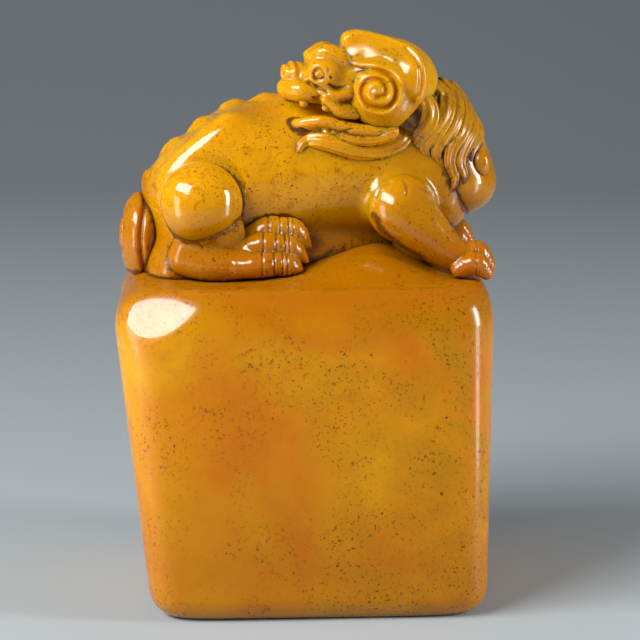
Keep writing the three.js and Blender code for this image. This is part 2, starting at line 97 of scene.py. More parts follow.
def make_skin(name, points, attributes):
    """A closed mesh from a grid of points [row, column, xyz]: quads between neighbouring rows, joined round the
    columns, and a fan of triangles to the pole at each end. The points are in mm with heights from the ledge, and the
    mesh is in metres with heights from the printing face."""
    index = np.arange(points[..., 0].size).reshape(points.shape[:2])
    ahead = np.roll(index, -1, axis=1)
    quads = np.stack([index[:-1], ahead[:-1], ahead[1:], index[1:]], axis=-1).reshape(-1, 4)
    pole = np.full(index.shape[1], index.size)
    fans = np.stack([[pole, ahead[0], index[0]], [pole + 1, index[-1], ahead[-1]]]).swapaxes(1, 2).reshape(-1, 3)
    piece = smooth_mesh(name, (with_poles(points) + [0, 0, LEDGE]) * MM, quads.tolist() + fans.tolist())
    for key, values in attributes.items():
        layer = piece.data.attributes.new(key, "FLOAT", "POINT")
        layer.data.foreach_set("value", with_poles(values).astype(np.float32))
    print(f"{name}: {2 * len(quads) + len(fans)} triangles")
    return piece


# %% Seating a skin on the frame
seated = []


def add_skin(name, points, nodes, slot="carved_stone", **attributes):
    """Makes a skin that rides on the root body, stands for its CAD nodes and takes the slot's finish."""
    piece = make_skin(name, points, attributes)
    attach(piece, "root")
    if nodes:
        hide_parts(*nodes)
    seated.append((piece, slot))


def numbered(stem, count):
    """The names stem_1, stem_2 and so on."""
    return [f"{stem}_{number}" for number in range(1, count + 1)]


# %% [markdown]
# ## Forms as distances
# The beast is carved from one stone, so its forms flow into each other. A good way to describe that is a distance: a
# function that says for any point how far it lies outside a form, with zero on the skin. Two distances are joined by
# a smooth minimum, which leaves a fillet like the one a carver's tool and the polish leave. Heights are measured from
# the ledge on which the beast lies.


# %% Distances and how they join
def stacked(*parts):
    """Arrays of x, y and z side by side, as one array of points."""
    return np.stack(parts, axis=-1)


def length(vectors):
    """Square root of the sum of each vector's squares."""
    return np.linalg.norm(vectors, axis=-1)


def unit(vectors):
    """Each vector over its length."""
    return vectors / np.maximum(length(vectors), 1e-9)[..., None]


def join(a, b, fillet):
    """Smooth minimum: the smaller of two distances, less a little more where both are within the fillet's width."""
    near = np.maximum(fillet - np.abs(a - b), 0) / fillet
    return np.minimum(a, b) - near * near * fillet / 4


def join_all(shape, *steps):
    """Joins one form after another to a shape, each with its own fillet."""
    for form, fillet in steps:
        shape = join(shape, form, fillet)
    return shape


def cut(a, b, fillet):
    """What is left of form a when form b is taken away, with the new edge rounded."""
    return -join(-a, b, fillet)


def egg(p, centre, halves):
    """Distance to an egg: its scaled radius k0 less one, times k0 over the length of its gradient k1."""
    q = (p - np.asarray(centre)) / np.asarray(halves)
    k0, k1 = length(q), length(q / np.asarray(halves))
    return k0 * (k0 - 1) / np.maximum(k1, 1e-6)


def smooth_line(knots, count):
    """Points on a smooth line through the knots: on each span a cubic with the slope of its neighbours' chord."""
    knots = np.asarray(knots, dtype=float)
    padded = np.concatenate([2 * knots[:1] - knots[1:2], knots, 2 * knots[-1:] - knots[-2:-1]])
    place = np.linspace(0, len(knots) - 1, count)
    span = np.minimum(place.astype(int), len(knots) - 2)
    t = (place - span)[:, None]
    a, b, c, d = (padded[span + k] for k in range(4))
    return 0.5 * (2 * b + (c - a) * t + (2 * a - 5 * b + 4 * c - d) * t**2 + (3 * b - a - 3 * c + d) * t**3)


def rod(p, knots, count=14):
    """Distance to a rod whose radius changes along a smooth line: to its nearest straight part, less the radius
    there. A knot is [x, y, z, radius]."""
    line = smooth_line(knots, count)
    best = None
    for start, end in zip(line[:-1], line[1:]):
        run = end[:3] - start[:3]
        t = np.clip(((p - start[:3]) @ run) / (run @ run), 0, 1)
        gap = length(p - start[:3] - t[..., None] * run) - (start[3] + (end[3] - start[3]) * t)
        best = gap if best is None else np.minimum(best, gap)
    return best


# %% [markdown]
# ## Rays that find the skin
# To turn a distance into a grid, rays start on a line inside the form and fan out like the bristles of a bottle
# brush. Each ray walks in from outside by the distance that is left, until it stands on the skin. The walk is the
# same for all rays at once, so one array of lengths is all it needs.


# %% Rays and the walk to the skin
def round_angles(count):
    """Even angles once round, without the last one."""
    return np.linspace(0, 2 * math.pi, count, endpoint=False)


def bristles(line, rows, columns, cap_rows):
    """Rays round a line. Rows of the first cap turn from straight back to square across, the middle rows slide along
    the line, and the last cap turns from square across to straight ahead."""
    line = smooth_line(line, 60)
    place = np.concatenate([np.zeros(cap_rows), np.linspace(0, 59, rows - 2 * cap_rows), np.full(cap_rows, 59)])
    origin, slope = (stacked(*(np.interp(place, np.arange(60), column) for column in table.T))
                     for table in (line, np.gradient(line, axis=0)))
    along = unit(slope)
    side = unit(np.array([0, 1, 0]) - along * along[:, 1:2])
    up = np.cross(along, side)
    turn = np.linspace(0.03, 1, cap_rows, endpoint=False) * math.pi / 2
    lean = np.concatenate([turn - math.pi / 2, np.zeros(rows - 2 * cap_rows), (math.pi / 2 - turn)[::-1]])
    angle = round_angles(columns)
    across = side[:, None] * np.cos(angle)[:, None] + up[:, None] * np.sin(angle)[:, None]
    rays = across * np.cos(lean)[:, None, None] + along[:, None] * np.sin(lean)[:, None, None]
    return np.broadcast_to(origin[:, None], rays.shape), rays


def walk_to_skin(distance, origin, rays, reach, steps=26):
    """Each ray starts at reach and shrinks by 0.85 of the distance at its tip, until the tip is on the skin."""
    grown = np.full(rays.shape[:2], float(reach))
    for _ in range(steps):
        grown = np.clip(grown - 0.85 * distance(origin + rays * grown[..., None]), 0.05, reach)
    return origin + rays * grown[..., None]


# %% [markdown]
# ## Grooves and ripples
# Fine carving is a change of a finished grid. Each point sinks along its own normal, by a groove's bell where it is
# near a drawn line, or by a soft random height that stands for the wear of hand polishing.


# %% Normals, grooves and ripples
def outward(points):
    """Unit normals of a grid: the cross product of its slopes round and along."""
    round_slope = np.roll(points, -1, axis=1) - np.roll(points, 1, axis=1)
    return unit(np.cross(round_slope, np.gradient(points, axis=0)))


def sink(points, depth):
    """Moves each point inwards along its normal by its depth."""
    return points - outward(points) * depth[..., None]


def nearness(points, line):
    """Distance from every point to a polyline, as the least over its straight parts."""
    best = np.full(points.shape[:-1], 1e9)
    for start, end in zip(line[:-1], line[1:]):
        run = end - start
        t = np.clip(((points - start) @ run) / (run @ run), 0, 1)
        best = np.minimum(best, length(points - start - t[..., None] * run))
    return best


def bell(distance, width):
    """1 where the distance is 0, falling as exp(-(distance / width)^2)."""
    return np.exp(-((distance / width) ** 2))


def groove(points, lines, width, weigh=(1, 1, 1), count=24):
    """A bell of each point's nearness to the lines, which are smoothed to count points (0 leaves them as drawn).
    weigh scales x, y and z first: with a small y, a line drawn beside the form cuts through to its skin."""
    total = np.zeros(points.shape[:-1])
    for line in lines:
        drawn = smooth_line(line, count) if count else np.asarray(line)
        total = np.maximum(total, bell(nearness(points * weigh, drawn * weigh), width))
    return total


def ripple(points, seed, size, count=10):
    """A soft random height: the mean of plane waves of about one length in seeded directions."""
    rng = np.random.default_rng(seed)
    total = np.zeros(points.shape[:-1])
    for _ in range(count):
        direction = rng.normal(size=3)
        direction *= 2 * math.pi / (size * rng.uniform(0.7, 1.6) * np.linalg.norm(direction))
        total += np.sin(points @ direction + rng.uniform(0, 2 * math.pi))
    return total / math.sqrt(count)


# %% [markdown]
# ## The squared block
# The block is ground flat on its sides, with rounded upright edges, a soft foot and a wider shoulder. A superellipse
# gives such an outline in one formula: the higher its power, the squarer the ring. Rings of it are stacked from the
# middle of the printing face, over the foot and the shoulder, to the crown of the mound on which the beast lies.

# %% Sizes of the block
FOOT = np.array([50, 46]) / 2
SHOULDER = np.array([55.4, 48.5]) / 2
FOOT_INSET, FOOT_RISE = 3.2, 4.0
LEDGE_INSET, LEDGE_DROP = 3.4, 6.5
SHOULDER_SHIFT, LEDGE_SHIFT = -2.1, -0.8
MOUND_HEIGHT, MOUND_X, MOUND_RIGHT, MOUND_LEFT = 4.8, 8, 8.4, 12


def mound(x, y):
    """Height above the ledge: a bell along x, wider on its left, times an arch that ends at the ledge's rim."""
    arch = np.clip(1 - (np.abs(y) / (SHOULDER[1] - LEDGE_INSET)) ** 3, 0, None)
    return MOUND_HEIGHT * bell(x - MOUND_X, np.where(x > MOUND_X, MOUND_RIGHT, MOUND_LEFT)) * arch


def squared_ring(angle, half, power):
    """Superellipse as a radius: (|cos/half x|^n + |sin/half y|^n)^(-1/n), with its point at that radius and angle."""
    c, s = np.cos(angle), np.sin(angle)
    radius = (np.abs(c / half[..., 0]) ** power + np.abs(s / half[..., 1]) ** power) ** (-1 / power)
    return stacked(radius * c, radius * s)


# %% Rings of the block
def block_points(columns=400, side_rows=120, turn_rows=22, top_rows=64, bottom_rows=14):
    """Five bands of rings: out over the printing face, round the foot, up the sides, round the shoulder and in over
    the ledge and mound. Each row has a share of the way from the middle, an inset and a height, and from the height a
    half size, a power and a shift."""
    turn = np.linspace(0, math.pi / 2, turn_rows)
    bands = [
        (np.linspace(0.03, 0.97, bottom_rows), FOOT_INSET, -LEDGE),
        (1, FOOT_INSET * (1 - np.sin(turn)), -LEDGE + FOOT_RISE * (1 - np.cos(turn))),
        (1, 0, np.linspace(FOOT_RISE - LEDGE, -LEDGE_DROP, side_rows)[1:-1]),
        (1, LEDGE_INSET * (1 - np.cos(turn)), -LEDGE_DROP * (1 - np.sin(turn))),
        (1 - np.linspace(0, 0.985, top_rows)[1:], LEDGE_INSET, 0),
    ]
    share, inset, height = np.concatenate([np.stack(np.broadcast_arrays(*band)) for band in bands], axis=1)
    climb = np.clip((height + LEDGE) / (LEDGE - LEDGE_DROP), 0, 1)
    half = FOOT + (SHOULDER - FOOT) * climb[:, None] - inset[:, None]
    turned = np.clip(inset / LEDGE_INSET, 0, 1)
    power = 9.5 - 2.5 * climb - 1.2 * turned * (height > -LEDGE_DROP)
    shift = SHOULDER_SHIFT * climb + (LEDGE_SHIFT - SHOULDER_SHIFT) * turned * (height > -LEDGE_DROP - 0.01)
    ring = squared_ring(round_angles(columns)[None], half[:, None, :], power[:, None])
    x = ring[..., 0] + shift[:, None]
    on_top = (np.arange(len(share)) > len(share) - top_rows)[:, None]
    s = share[:, None]
    x = np.where(on_top, MOUND_X + (x - MOUND_X) * s, x * s)
    y = ring[..., 1] * s
    z = height[:, None] + np.where(on_top, mound(x, y), 0)
    return stacked(x, y, z)


# %% [markdown]
# ## The ground corner
# Hand grinding leaves the sides a little hollow, and the front corner at the upper left is ground to a flat facet
# that throws back the whole window. A facet is a plane: what stands out over it is moved back onto it.

# %% Hollows and the facet
FACET = np.array([-0.33, -0.82, 0.47])
FACET_OFFSET, FACET_EDGE = 23.9, 0.6

stone = block_points()
hollow = 0.16 * np.clip(ripple(stone, 3, 26), 0, None)
stone = sink(stone, hollow * (stone[..., 2] > -LEDGE + 0.5))
over = stone @ FACET - FACET_OFFSET
stone = stone - FACET * np.clip(0.5 * (over + np.hypot(over, FACET_EDGE)) - 0.01, 0, None)[..., None]
print("block rings:", stone.shape[0], "points a ring:", stone.shape[1], "points on the facet:", (over > 0).sum())

# %% [markdown]
# ## Places of the beast's parts
# The beast fills the ledge from end to end. Its trunk is a barrel with a rounded rump, its legs are folded close, and
# its neck rises from the chest and leans back to a head that looks over its own flank. All later pieces share the
# distances below, because a crease between two parts is where both distances are small, and brown for dirt and painted
# shade goes there.

# %% Trunk
RUMP_X, BREAST_X = -17.5, 18.5
RUMP_LENGTH, BREAST_LENGTH = 7.2, 6.0
TRUNK_POWER = 2.3
TRUNK_ALONG = np.array([0, 0.15, 0.35, 0.58, 0.8, 1])
TRUNK_CENTRE = np.array([9.4, 12, 14, 15, 14.4, 13.4])
TRUNK_WIDE = np.array([9.9, 10.9, 11.1, 10.5, 9.8, 8.9])
TRUNK_TALL = np.array([9.6, 11.3, 11.7, 11.2, 10, 8.1])


def station(table, along):
    """A value along the trunk, as a smooth line through the stations."""
    fine = smooth_line(stacked(TRUNK_ALONG, table), 60)
    return np.interp(along, fine[:, 0], fine[:, 1])


def trunk(p):
    """Distance to a barrel whose cross-section is a superellipse and whose ends are round: its scaled radius less
    one, times its smaller half size, held a little short."""
    along = np.clip((p[..., 0] - RUMP_X) / (BREAST_X - RUMP_X), 0, 1)
    wide, tall, middle = (station(table, along) for table in (TRUNK_WIDE, TRUNK_TALL, TRUNK_CENTRE))
    across = np.abs(p[..., 1] / wide) ** TRUNK_POWER + np.abs((p[..., 2] - middle) / tall) ** TRUNK_POWER
    beyond = np.maximum(RUMP_X - p[..., 0], 0) / RUMP_LENGTH + np.maximum(p[..., 0] - BREAST_X, 0) / BREAST_LENGTH
    scaled = np.sqrt(across ** (2 / TRUNK_POWER) + beyond**2)
    return (scaled - 1) * np.minimum(wide, tall) * 0.9


# %% [markdown]
# The flanks mirror each other, so the haunch, the hip and the legs are described once, on the near side. The hip is a
# plate that leans from the back down to the tail, and its upper edge is the ridge with the long highlight. The knobs
# of the spine are one rod that swells at each knob and narrows half way to the next one.

# %% Haunch and hip
HAUNCH, HAUNCH_HALVES = np.array([-17, -11.6, 11.2]), np.array([6, 5.2, 6.1])
HIP, HIP_HALVES = np.array([-16.4, -5, 12.2]), np.array([9.5, 7.4, 4.5])
HIP_LEAN, HIP_SLIDE, HIP_POWER = math.radians(42), 3.4, 3.5
CHANNEL_RADIUS, CHANNEL_Y, CHANNEL_TUBE = 6.6, -10.6, 1.1
CHANNEL_START, CHANNEL_END = -20, 230


def mirrored(p):
    """The same point on the near side."""
    return stacked(p[..., 0], -np.abs(p[..., 1]), p[..., 2])


def haunch(p):
    """Distance to the ball of the haunch, which is an egg."""
    return egg(mirrored(p), HAUNCH, HAUNCH_HALVES)


def hip(q):
    """Distance to a superellipsoid in axes that lean by HIP_LEAN: its scaled radius less one, times its least half."""
    x, y, z = np.moveaxis(q - HIP, -1, 0)
    c, s = math.cos(HIP_LEAN), math.sin(HIP_LEAN)
    leaning = stacked(c * x + s * z - HIP_SLIDE, c * z - s * x, y) / HIP_HALVES
    return (np.linalg.norm(leaning, ord=HIP_POWER, axis=-1) - 1) * HIP_HALVES[2]


def channel(q):
    """Distance to the channel round the haunch: across to a circle, less a tube that swells from nothing at the start
    angle to its full size half way and back to nothing at the end angle."""
    x, z = q[..., 0] - HAUNCH[0], q[..., 2] - HAUNCH[2]
    angle = np.degrees(np.arctan2(z, x)) % 360
    swell = np.sin(math.pi * np.clip((angle - CHANNEL_START) / (CHANNEL_END - CHANNEL_START), 0, 1)) ** 0.7
    return np.hypot(np.hypot(x, z) - CHANNEL_RADIUS, q[..., 1] - CHANNEL_Y) - CHANNEL_TUBE * (2.2 * swell - 1.2)


# %% Back and body
BACK = [(-22.6, 0, 11.6, 3), (-19.6, 0, 15.2, 3.2), (-15.2, 0, 18.3, 3.4), (-11, 0, 20.4, 3.4), (-5.4, 0, 21.6, 3.2)]
KNOBS = np.array([(-23.6, 13.4), (-20.6, 17.3), (-16.3, 20.7), (-12, 23.2), (-7.2, 24.2), (-2.4, 24.9), (2.2, 25.3)])
CREST = np.zeros((2 * len(KNOBS) - 1, 4))
CREST[::2, [0, 2]], CREST[::2, 3] = KNOBS, 2.3
CREST[1::2, [0, 2]], CREST[1::2, 3] = (KNOBS[:-1] + KNOBS[1:]) / 2, 1.0


def body(p):
    """The trunk on its seat of stone, with a rump on each side, the back, the hip, the channel and the knobs."""
    q = mirrored(p)
    shape = join_all(trunk(p), (egg(p, (-2, 0, 2.6), (15.5, 10.4, 5)), 2),
                     (egg(q, (-18.6, -4, 3.8), (4.4, 8, 6.6)), 2.5),
                     (egg(q, (-21.6, -3.4, 0.8), (3.6, 7.4, 4.2)), 2), (rod(p, BACK, 8), 3.5), (hip(q), 1.8))
    return join(cut(shape, channel(q), 0.8), rod(p, CREST, 40), 0.7)


# %% Legs
HIND_TOES = [
    [(-11.6, -13.9, 2.2, 1.7), (-8.4, -14.3, 2.6, 2), (-6, -14.3, 2.7, 1.7), (-4.6, -14.1, 2.4, 1.85),
     (-3.4, -13.9, 1.8, 1.1), (-2.4, -13.8, 1, 0.4)],
    [(-11, -12.4, 4.2, 1.6), (-8.2, -12.8, 5.2, 2), (-5.6, -12.9, 5.1, 1.7), (-4.2, -12.8, 4.7, 1.9),
     (-2.8, -12.6, 3.8, 1.1), (-1.8, -12.5, 2.8, 0.4)],
    [(-9.6, -10.6, 6.3, 1.5), (-7.4, -10.9, 7.3, 1.9), (-5, -11, 7.4, 1.7), (-3.6, -10.9, 7, 1.85),
     (-2.2, -10.7, 5.8, 1.1), (-1.3, -10.6, 4.8, 0.4)],
]
SHANK = [(-19.2, -10.6, 3.2, 2.8), (-16, -12, 2.5, 2.7), (-12.6, -12.8, 2.4, 2.4), (-9.6, -12.7, 3, 2.4)]
SHOULDER_SPOT, SHOULDER_HALVES = np.array([12.2, -9.6, 10.6]), np.array([4.9, 3.8, 4.8])
FORELEG = [(12.4, -9.8, 9.6, 4.5), (14.8, -10.7, 7.6, 4), (17, -11.4, 5.6, 3.3), (19.4, -12, 3.8, 2.6),
           (21.8, -12.2, 2.8, 2.2)]
FORE_TOES = [
    [(20.6, -14.2, 1.6, 1.3), (22.8, -14.5, 2.6, 1.7), (24.4, -14.5, 1.2, 1.1)],
    [(21, -12.2, 2.7, 1.5), (23.2, -12.4, 3.9, 1.8), (25, -12.4, 2, 1.1)],
    [(20.6, -10.3, 2.2, 1.3), (22.8, -10.1, 3, 1.7), (24.4, -10, 1.4, 1.1)],
]


def hind_foot(p):
    """The shank and three toes, each a rod that swells at its knuckles."""
    q = mirrored(p)
    return join_all(rod(q, SHANK), *((rod(q, toe, 16), 0.35) for toe in HIND_TOES))


def foreleg(p):
    """A fleshy shoulder that narrows to the wrist, and three toes over the ledge's end."""
    q = mirrored(p)
    toes = ((rod(q, toe, 8), 0.3) for toe in FORE_TOES)
    return join_all(egg(q, SHOULDER_SPOT, SHOULDER_HALVES), (rod(q, FORELEG, 24), 1), *toes)


# %% [markdown]
# The head is turned right round, so it is described in a frame of its own, with x to the nose, y to the left cheek and
# z up, and only then turned into place. It leans on the neck, which is a thick rod, wider across than deep.

# %% Neck and the head's frame
NECK_SQUEEZE = 0.86
NECK = [(19.6, 0, 13, 6.6), (20, -0.1, 15, 7.4), (18.9, -0.5, 18.4, 7.9), (16.2, -1.5, 22.5, 7.2), (12, -2.7, 26, 6.6)]
HEAD_PLACE = np.array([9.8, -5.4, 28.3])
HEAD_TURN = math.radians(183)
c, s = math.cos(HEAD_TURN), math.sin(HEAD_TURN)
HEAD_AXES = np.array([[c, s, 0], [-s, c, 0], [0, 0, 1]])


def neck(p):
    """The rod, squeezed across, with a full breast and a brisket that goes down between the forelegs."""
    shape = rod(p * [1, NECK_SQUEEZE, 1], np.array(NECK) * [1, NECK_SQUEEZE, 1, NECK_SQUEEZE], 24)
    return join_all(shape, (egg(p, (20.3, 0, 13.8), (7, 8.4, 5.2)), 2),
                    (egg(p, (22.2, 0, 12.4), (5, 7.6, 3.8)), 1.5), (egg(p, (16, 0, 5), (5.4, 9.6, 6)), 1.5))


def to_head(p):
    """Into the head's frame: less its place, then along its axes."""
    return (p - HEAD_PLACE) @ HEAD_AXES.T


def from_head(h):
    """Back out of the head's frame."""
    return h @ HEAD_AXES + HEAD_PLACE


def paired(h):
    """The same point on the left cheek's side of the head."""
    return stacked(h[..., 0], np.abs(h[..., 1]), h[..., 2])


# %% Skull and jaw as distances
BROW = [(5.8, 4, 3.4, 1), (8.2, 3.6, 4.6, 1.3), (10.6, 2.4, 3.9, 0.9)]
UPPER_LIP = [(10.9, 4.1, -1.3, 1), (12.4, 3.4, -0.9, 1.6), (14, 1.6, -0.8, 1.5)]
CHEEK_FOLDS = [[(4.6, 5.2, -4.2, 0.8), (6.8, 5.4, -3.8, 0.9), (9, 5, -2.3, 0.8)],
               [(5.4, 5.2, -1.2, 0.8), (7.4, 5.1, -1.6, 0.8), (9.4, 4.6, -0.9, 0.6)]]


def upper_head(h):
    """Skull, muzzle, eye mounds, brows, nose, lips and cheek folds, less the nostrils and the mouth."""
    q = paired(h)
    shape = join_all(
        egg(h, (0, 0, 0), (8.3, 6.4, 6.8)), (egg(h, (8.2, 0, 0), (6.2, 4.7, 3.7)), 2.5),
        (egg(q, (8.9, 3.3, 1.6), (2.7, 2.2, 2.6)), 0.9), (rod(q, BROW, 8), 0.6),
        (egg(h, (13.2, 0, 1.5), (1.9, 2.9, 1.7)), 0.6), (rod(q, UPPER_LIP, 12), 0.4),
        *((rod(q, fold, 12), 0.5) for fold in CHEEK_FOLDS),
    )
    shape = cut(shape, egg(q, (14.9, 1.2, 1.3), (0.7, 0.6, 0.6)), 0.3)
    return cut(shape, egg(h, (10.5, 0, -5), (5, 3.6, 2.4)), 0.8)


LIP = [(-1, 5, -6.8, 0.9), (3, 5.4, -6.6, 0.9), (6.2, 5.3, -6, 0.8), (9.6, 4.6, -5.2, 0.85),
       (12.4, 3, -5.8, 0.9), (13.6, 0.8, -6.2, 0.9)]


def lower_jaw(h):
    """A broad jaw with a thin raised lip on each side, which meets its fellow at a turned-up chin."""
    q = paired(h)
    shape = join_all(egg(h, (5.2, 0, -7.8), (8.6, 5.6, 3)), (rod(q, LIP, 24), 1),
                     (egg(q, (12.2, 1.4, -7.4), (1.9, 1.9, 1.3)), 0.5))
    return cut(shape, egg(h, (7.6, 0, -4.4), (5.2, 3.6, 2.2)), 0.6)


print("nose tip at", from_head(np.array([15, 0, 1.5])).round(1).tolist())

# %% [markdown]
# ## Dirt and painted shade in the creases
# Handling polishes the high places and leaves brown dirt in the low ones, which also lie in shade, so one brown is
# painted there for both the dirt and the shade. It is an attribute on each mesh: it is strong where the skin comes
# close to another part, and where a groove was cut. The stone's material reads it. The block also gets a gleam,
# which is 1 on its facet and lower on its rounded edges, where hands have polished it most.


# %% Creases between parts, and the block's skin
# The crease bells mark brown dirt and painted shade: darker where one part comes close to another.
def creases(points, others, reach=0.6):
    """A bell of the least distance to the other parts' skins, with a lower bell three times as wide around it."""
    total = np.zeros(points.shape[:-1])
    for other in others:
        gap = other(points)
        total = np.maximum(total, np.maximum(bell(gap, reach), 0.5 * bell(gap, 3 * reach)))
    return total


def ledge_skin(p):
    """Height over the ledge and its mound."""
    return p[..., 2] - mound(p[..., 0], p[..., 1])


def upper_skin(p):
    """Distance to the upper head, from the CAD frame."""
    return upper_head(to_head(p))


def jaw_skin(p):
    """Distance to the jaw, from the CAD frame."""
    return lower_jaw(to_head(p))


def head_skin(p):
    """The smaller of the two."""
    return np.minimum(upper_skin(p), jaw_skin(p))


# Painted shade and dirt on the block where the beast's parts come close.
block_stain = creases(stone, [body, hind_foot, foreleg, haunch])
rounded = np.clip((0.985 - np.abs(outward(stone)).max(axis=-1)) / 0.06, 0, 1)
gleam = np.maximum(np.clip((over + 0.6) / 0.8, 0, 1), 0.5 * rounded)
add_skin("block_skin", stone, ["seal_block"], "block_stone", stain=block_stain, gleam=gleam)

# %% [markdown]
# ## Trunk
# The trunk is one polished barrel. Rays start on its own middle line. Two shallow lines are cut into the flank under
# the beard, as on the real carving, and the skin runs up to each shoulder in a fillet.

# %% Trunk skin
TRUNK_LINE = [(RUMP_X + 1, 0, 9), (-8, 0, 12.4), (2, 0, 14), (BREAST_X - 4, 0, 13.4)]
FLANK_CUTS = [[(-1.5, -9.6, 17.2), (0.4, -9.9, 16.9), (1.4, -10, 17)], [(1.9, -9.9, 17.3), (2.1, -10.2, 15.6)]]


def body_and_shoulders(p):
    """The body, joined to each shoulder's egg by a broad fillet."""
    return join(body(p), egg(mirrored(p), SHOULDER_SPOT, SHOULDER_HALVES - 0.1), 1.8)


flank = walk_to_skin(body_and_shoulders, *bristles(TRUNK_LINE, 256, 340, 50), 22, 40)
cut_bell = groove(flank, FLANK_CUTS, 0.28)
flank = sink(flank, 0.22 * cut_bell)
flank = sink(flank, 0.05 * ripple(flank, 5, 7))
# Painted shade and dirt in the trunk's creases and cut lines.
flank_stain = np.maximum(creases(flank, [haunch, hind_foot, neck, head_skin, ledge_skin]), 0.5 * cut_bell)
add_skin("trunk_skin", flank, ["trunk", *numbered("spine_knob", 7)], stain=flank_stain)

# %% [markdown]
# ## Haunches and legs
# The haunch is a polished ball that sits in its channel. The foot in front of it shows three toes, with knuckle
# creases across them. The foreleg is a soft wedge from the shoulder to a small paw that grips the end of the ledge.


# %% Haunches
def globe(rows, columns):
    """Unit sphere as a grid: latitude from pole to pole along -y, longitude round it."""
    lat, lon = np.linspace(0.02, math.pi - 0.02, rows)[:, None], round_angles(columns)[None]
    return stacked(np.sin(lat) * np.cos(lon), -np.cos(lat) + 0 * lon, -np.sin(lat) * np.sin(lon))


def add_pair(kind, near, stain, nodes):
    """The near piece, and its mirror image in y with the columns turned round so that it still faces outwards."""
    add_skin(f"right_{kind}_skin", near, [f"right_{node}" for node in nodes], stain=stain)
    far = (near * [1, -1, 1])[:, ::-1]
    add_skin(f"left_{kind}_skin", far, [f"left_{node}" for node in nodes], stain=stain[:, ::-1])


rays = globe(130, 180)
ball = walk_to_skin(haunch, np.broadcast_to(HAUNCH, rays.shape), rays, 7, 30)
ball = sink(ball, 0.06 * ripple(ball, 11, 6))
# Painted shade and dirt where the haunch sits in its channel.
add_pair("haunch", ball, creases(ball, [body]), ["haunch"])

# %% Hind feet
SHANK_LINE = [(-18.8, -11.2, 3.4), (-13, -12.6, 3.4), (-5.5, -12.4, 4.8)]


def thigh(p):
    """The haunch and the foot as one form, with a broad fillet between them."""
    return join(haunch(p), hind_foot(p), 2.6)


def knuckle_cuts(toes, shares, spread):
    """Short arcs across each toe at the given shares of its length, seen from the flank."""
    lines = []
    for knots in toes:
        line = smooth_line(knots, 30)
        for share in shares:
            knot = line[int(share * 29)]
            angle = np.radians(np.linspace(200 - spread, 200 + spread, 9))
            lines.append(knot[:3] + 1.02 * knot[3] * stacked(0 * angle, np.cos(angle), -np.sin(angle)))
    return lines


foot = walk_to_skin(thigh, *bristles(SHANK_LINE, 190, 220, 45), 5.8)
knuckle_bell = groove(foot, knuckle_cuts(HIND_TOES, (0.24, 0.36, 0.5, 0.6, 0.72), 75), 0.17)
foot = sink(foot, 0.26 * knuckle_bell)
# Painted shade and dirt at the ledge, at the body and in the knuckle creases.
foot_stain = np.maximum(creases(foot, [ledge_skin, body, haunch], 0.5), 0.9 * knuckle_bell)
add_pair("hind_foot", foot, foot_stain, ["hind_shank", *numbered("hind_toe", 3)])

# %% [markdown]
# The shoulder carries three short curls of fur. They are drawn on a sheet beside it, and the groove reaches the skin
# because the distance counts y for only a fifth. Brown for dirt and painted shade is laid into the armpit in the same
# way.

# %% Forelegs
ARM_LINE = [(12.2, -10.2, 10), (15.2, -11.4, 7), (19, -12, 4), (23.6, -12.2, 2.2)]
WHORLS = [[(8.3, -13, 11.8), (9, -13, 13.3), (10.4, -13, 14.2)],
          [(12.6, -13, 14.3), (12.9, -13, 13.4), (12.7, -13, 12.6)],
          [(15, -13, 13.4), (16.1, -13, 12.8), (16.7, -13, 11.6)]]
UNDER_ARM = [(8.2, -12, 9.4), (9.4, -12, 7.2), (12, -12, 5), (15.4, -12, 3.2)]

arm = walk_to_skin(foreleg, *bristles(ARM_LINE, 190, 200, 40), 7)
knuckle_bell = groove(arm, knuckle_cuts(FORE_TOES, (0.5,), 80), 0.18)
arm = sink(arm, 0.2 * knuckle_bell)
arm = sink(arm, 0.3 * groove(arm, WHORLS, 0.3, (1, 0.2, 1)))
# Painted shade and dirt along the armpit, under the arm.
edge = groove(arm, [UNDER_ARM], 0.9, (1, 0.3, 1), 0)
arm_stain = np.maximum(creases(arm, [ledge_skin, neck], 0.5), np.maximum(0.5 * knuckle_bell, edge))
add_pair("foreleg", arm, arm_stain, ["shoulder", "foreleg", *numbered("fore_toe", 3)])

# %% [markdown]
# ## Neck, mane and bead
# The mane is cut as wavy locks that fall from behind the ear and run out in points on the chest. Each lock is a
# profile carried along a line: the line is drawn flat, as it is seen from the flank, and then laid on the neck, so it
# always sits on what carries it.

# %% Neck skin
NECK_LINE = [(18.4, 0, 9.5), (19.4, 0, 13.5), (18.6, -0.6, 18.4), (15.6, -1.6, 22.4), (13, -2.4, 25)]

throat = walk_to_skin(neck, *bristles(NECK_LINE, 220, 240, 60), 14)
throat = sink(throat, 0.06 * ripple(throat, 21, 6))
# Painted shade: the neck under the mane locks is darkened, on top of dirt and painted shade near the body, foreleg and
# head.
shade_under_mane = np.clip((throat[..., 2] - 9) / 5, 0, 1) * np.clip((22 - throat[..., 0]) / 3, 0, 1)
throat_stain = np.maximum(creases(throat, [body, foreleg, head_skin], 0.45), 0.8 * shade_under_mane)
add_skin("neck_skin", throat, ["neck_and_chest"], stain=throat_stain)


# %% Hair
def lay_on(distance, drawn, side, dip=0):
    """Lays a drawing (x, z) on a form: each point walks in from the flank along y until it meets the skin."""
    x, z = np.array(drawn, dtype=float).T
    y = np.full(len(x), 20.0 * side)
    for _ in range(40):
        y = y - side * 0.8 * np.clip(distance(stacked(x, y, z)), -0.5, None)
        y = np.where(y * side < 0.2, 0.2 * side, y)
    return stacked(x, y - side * dip, z)


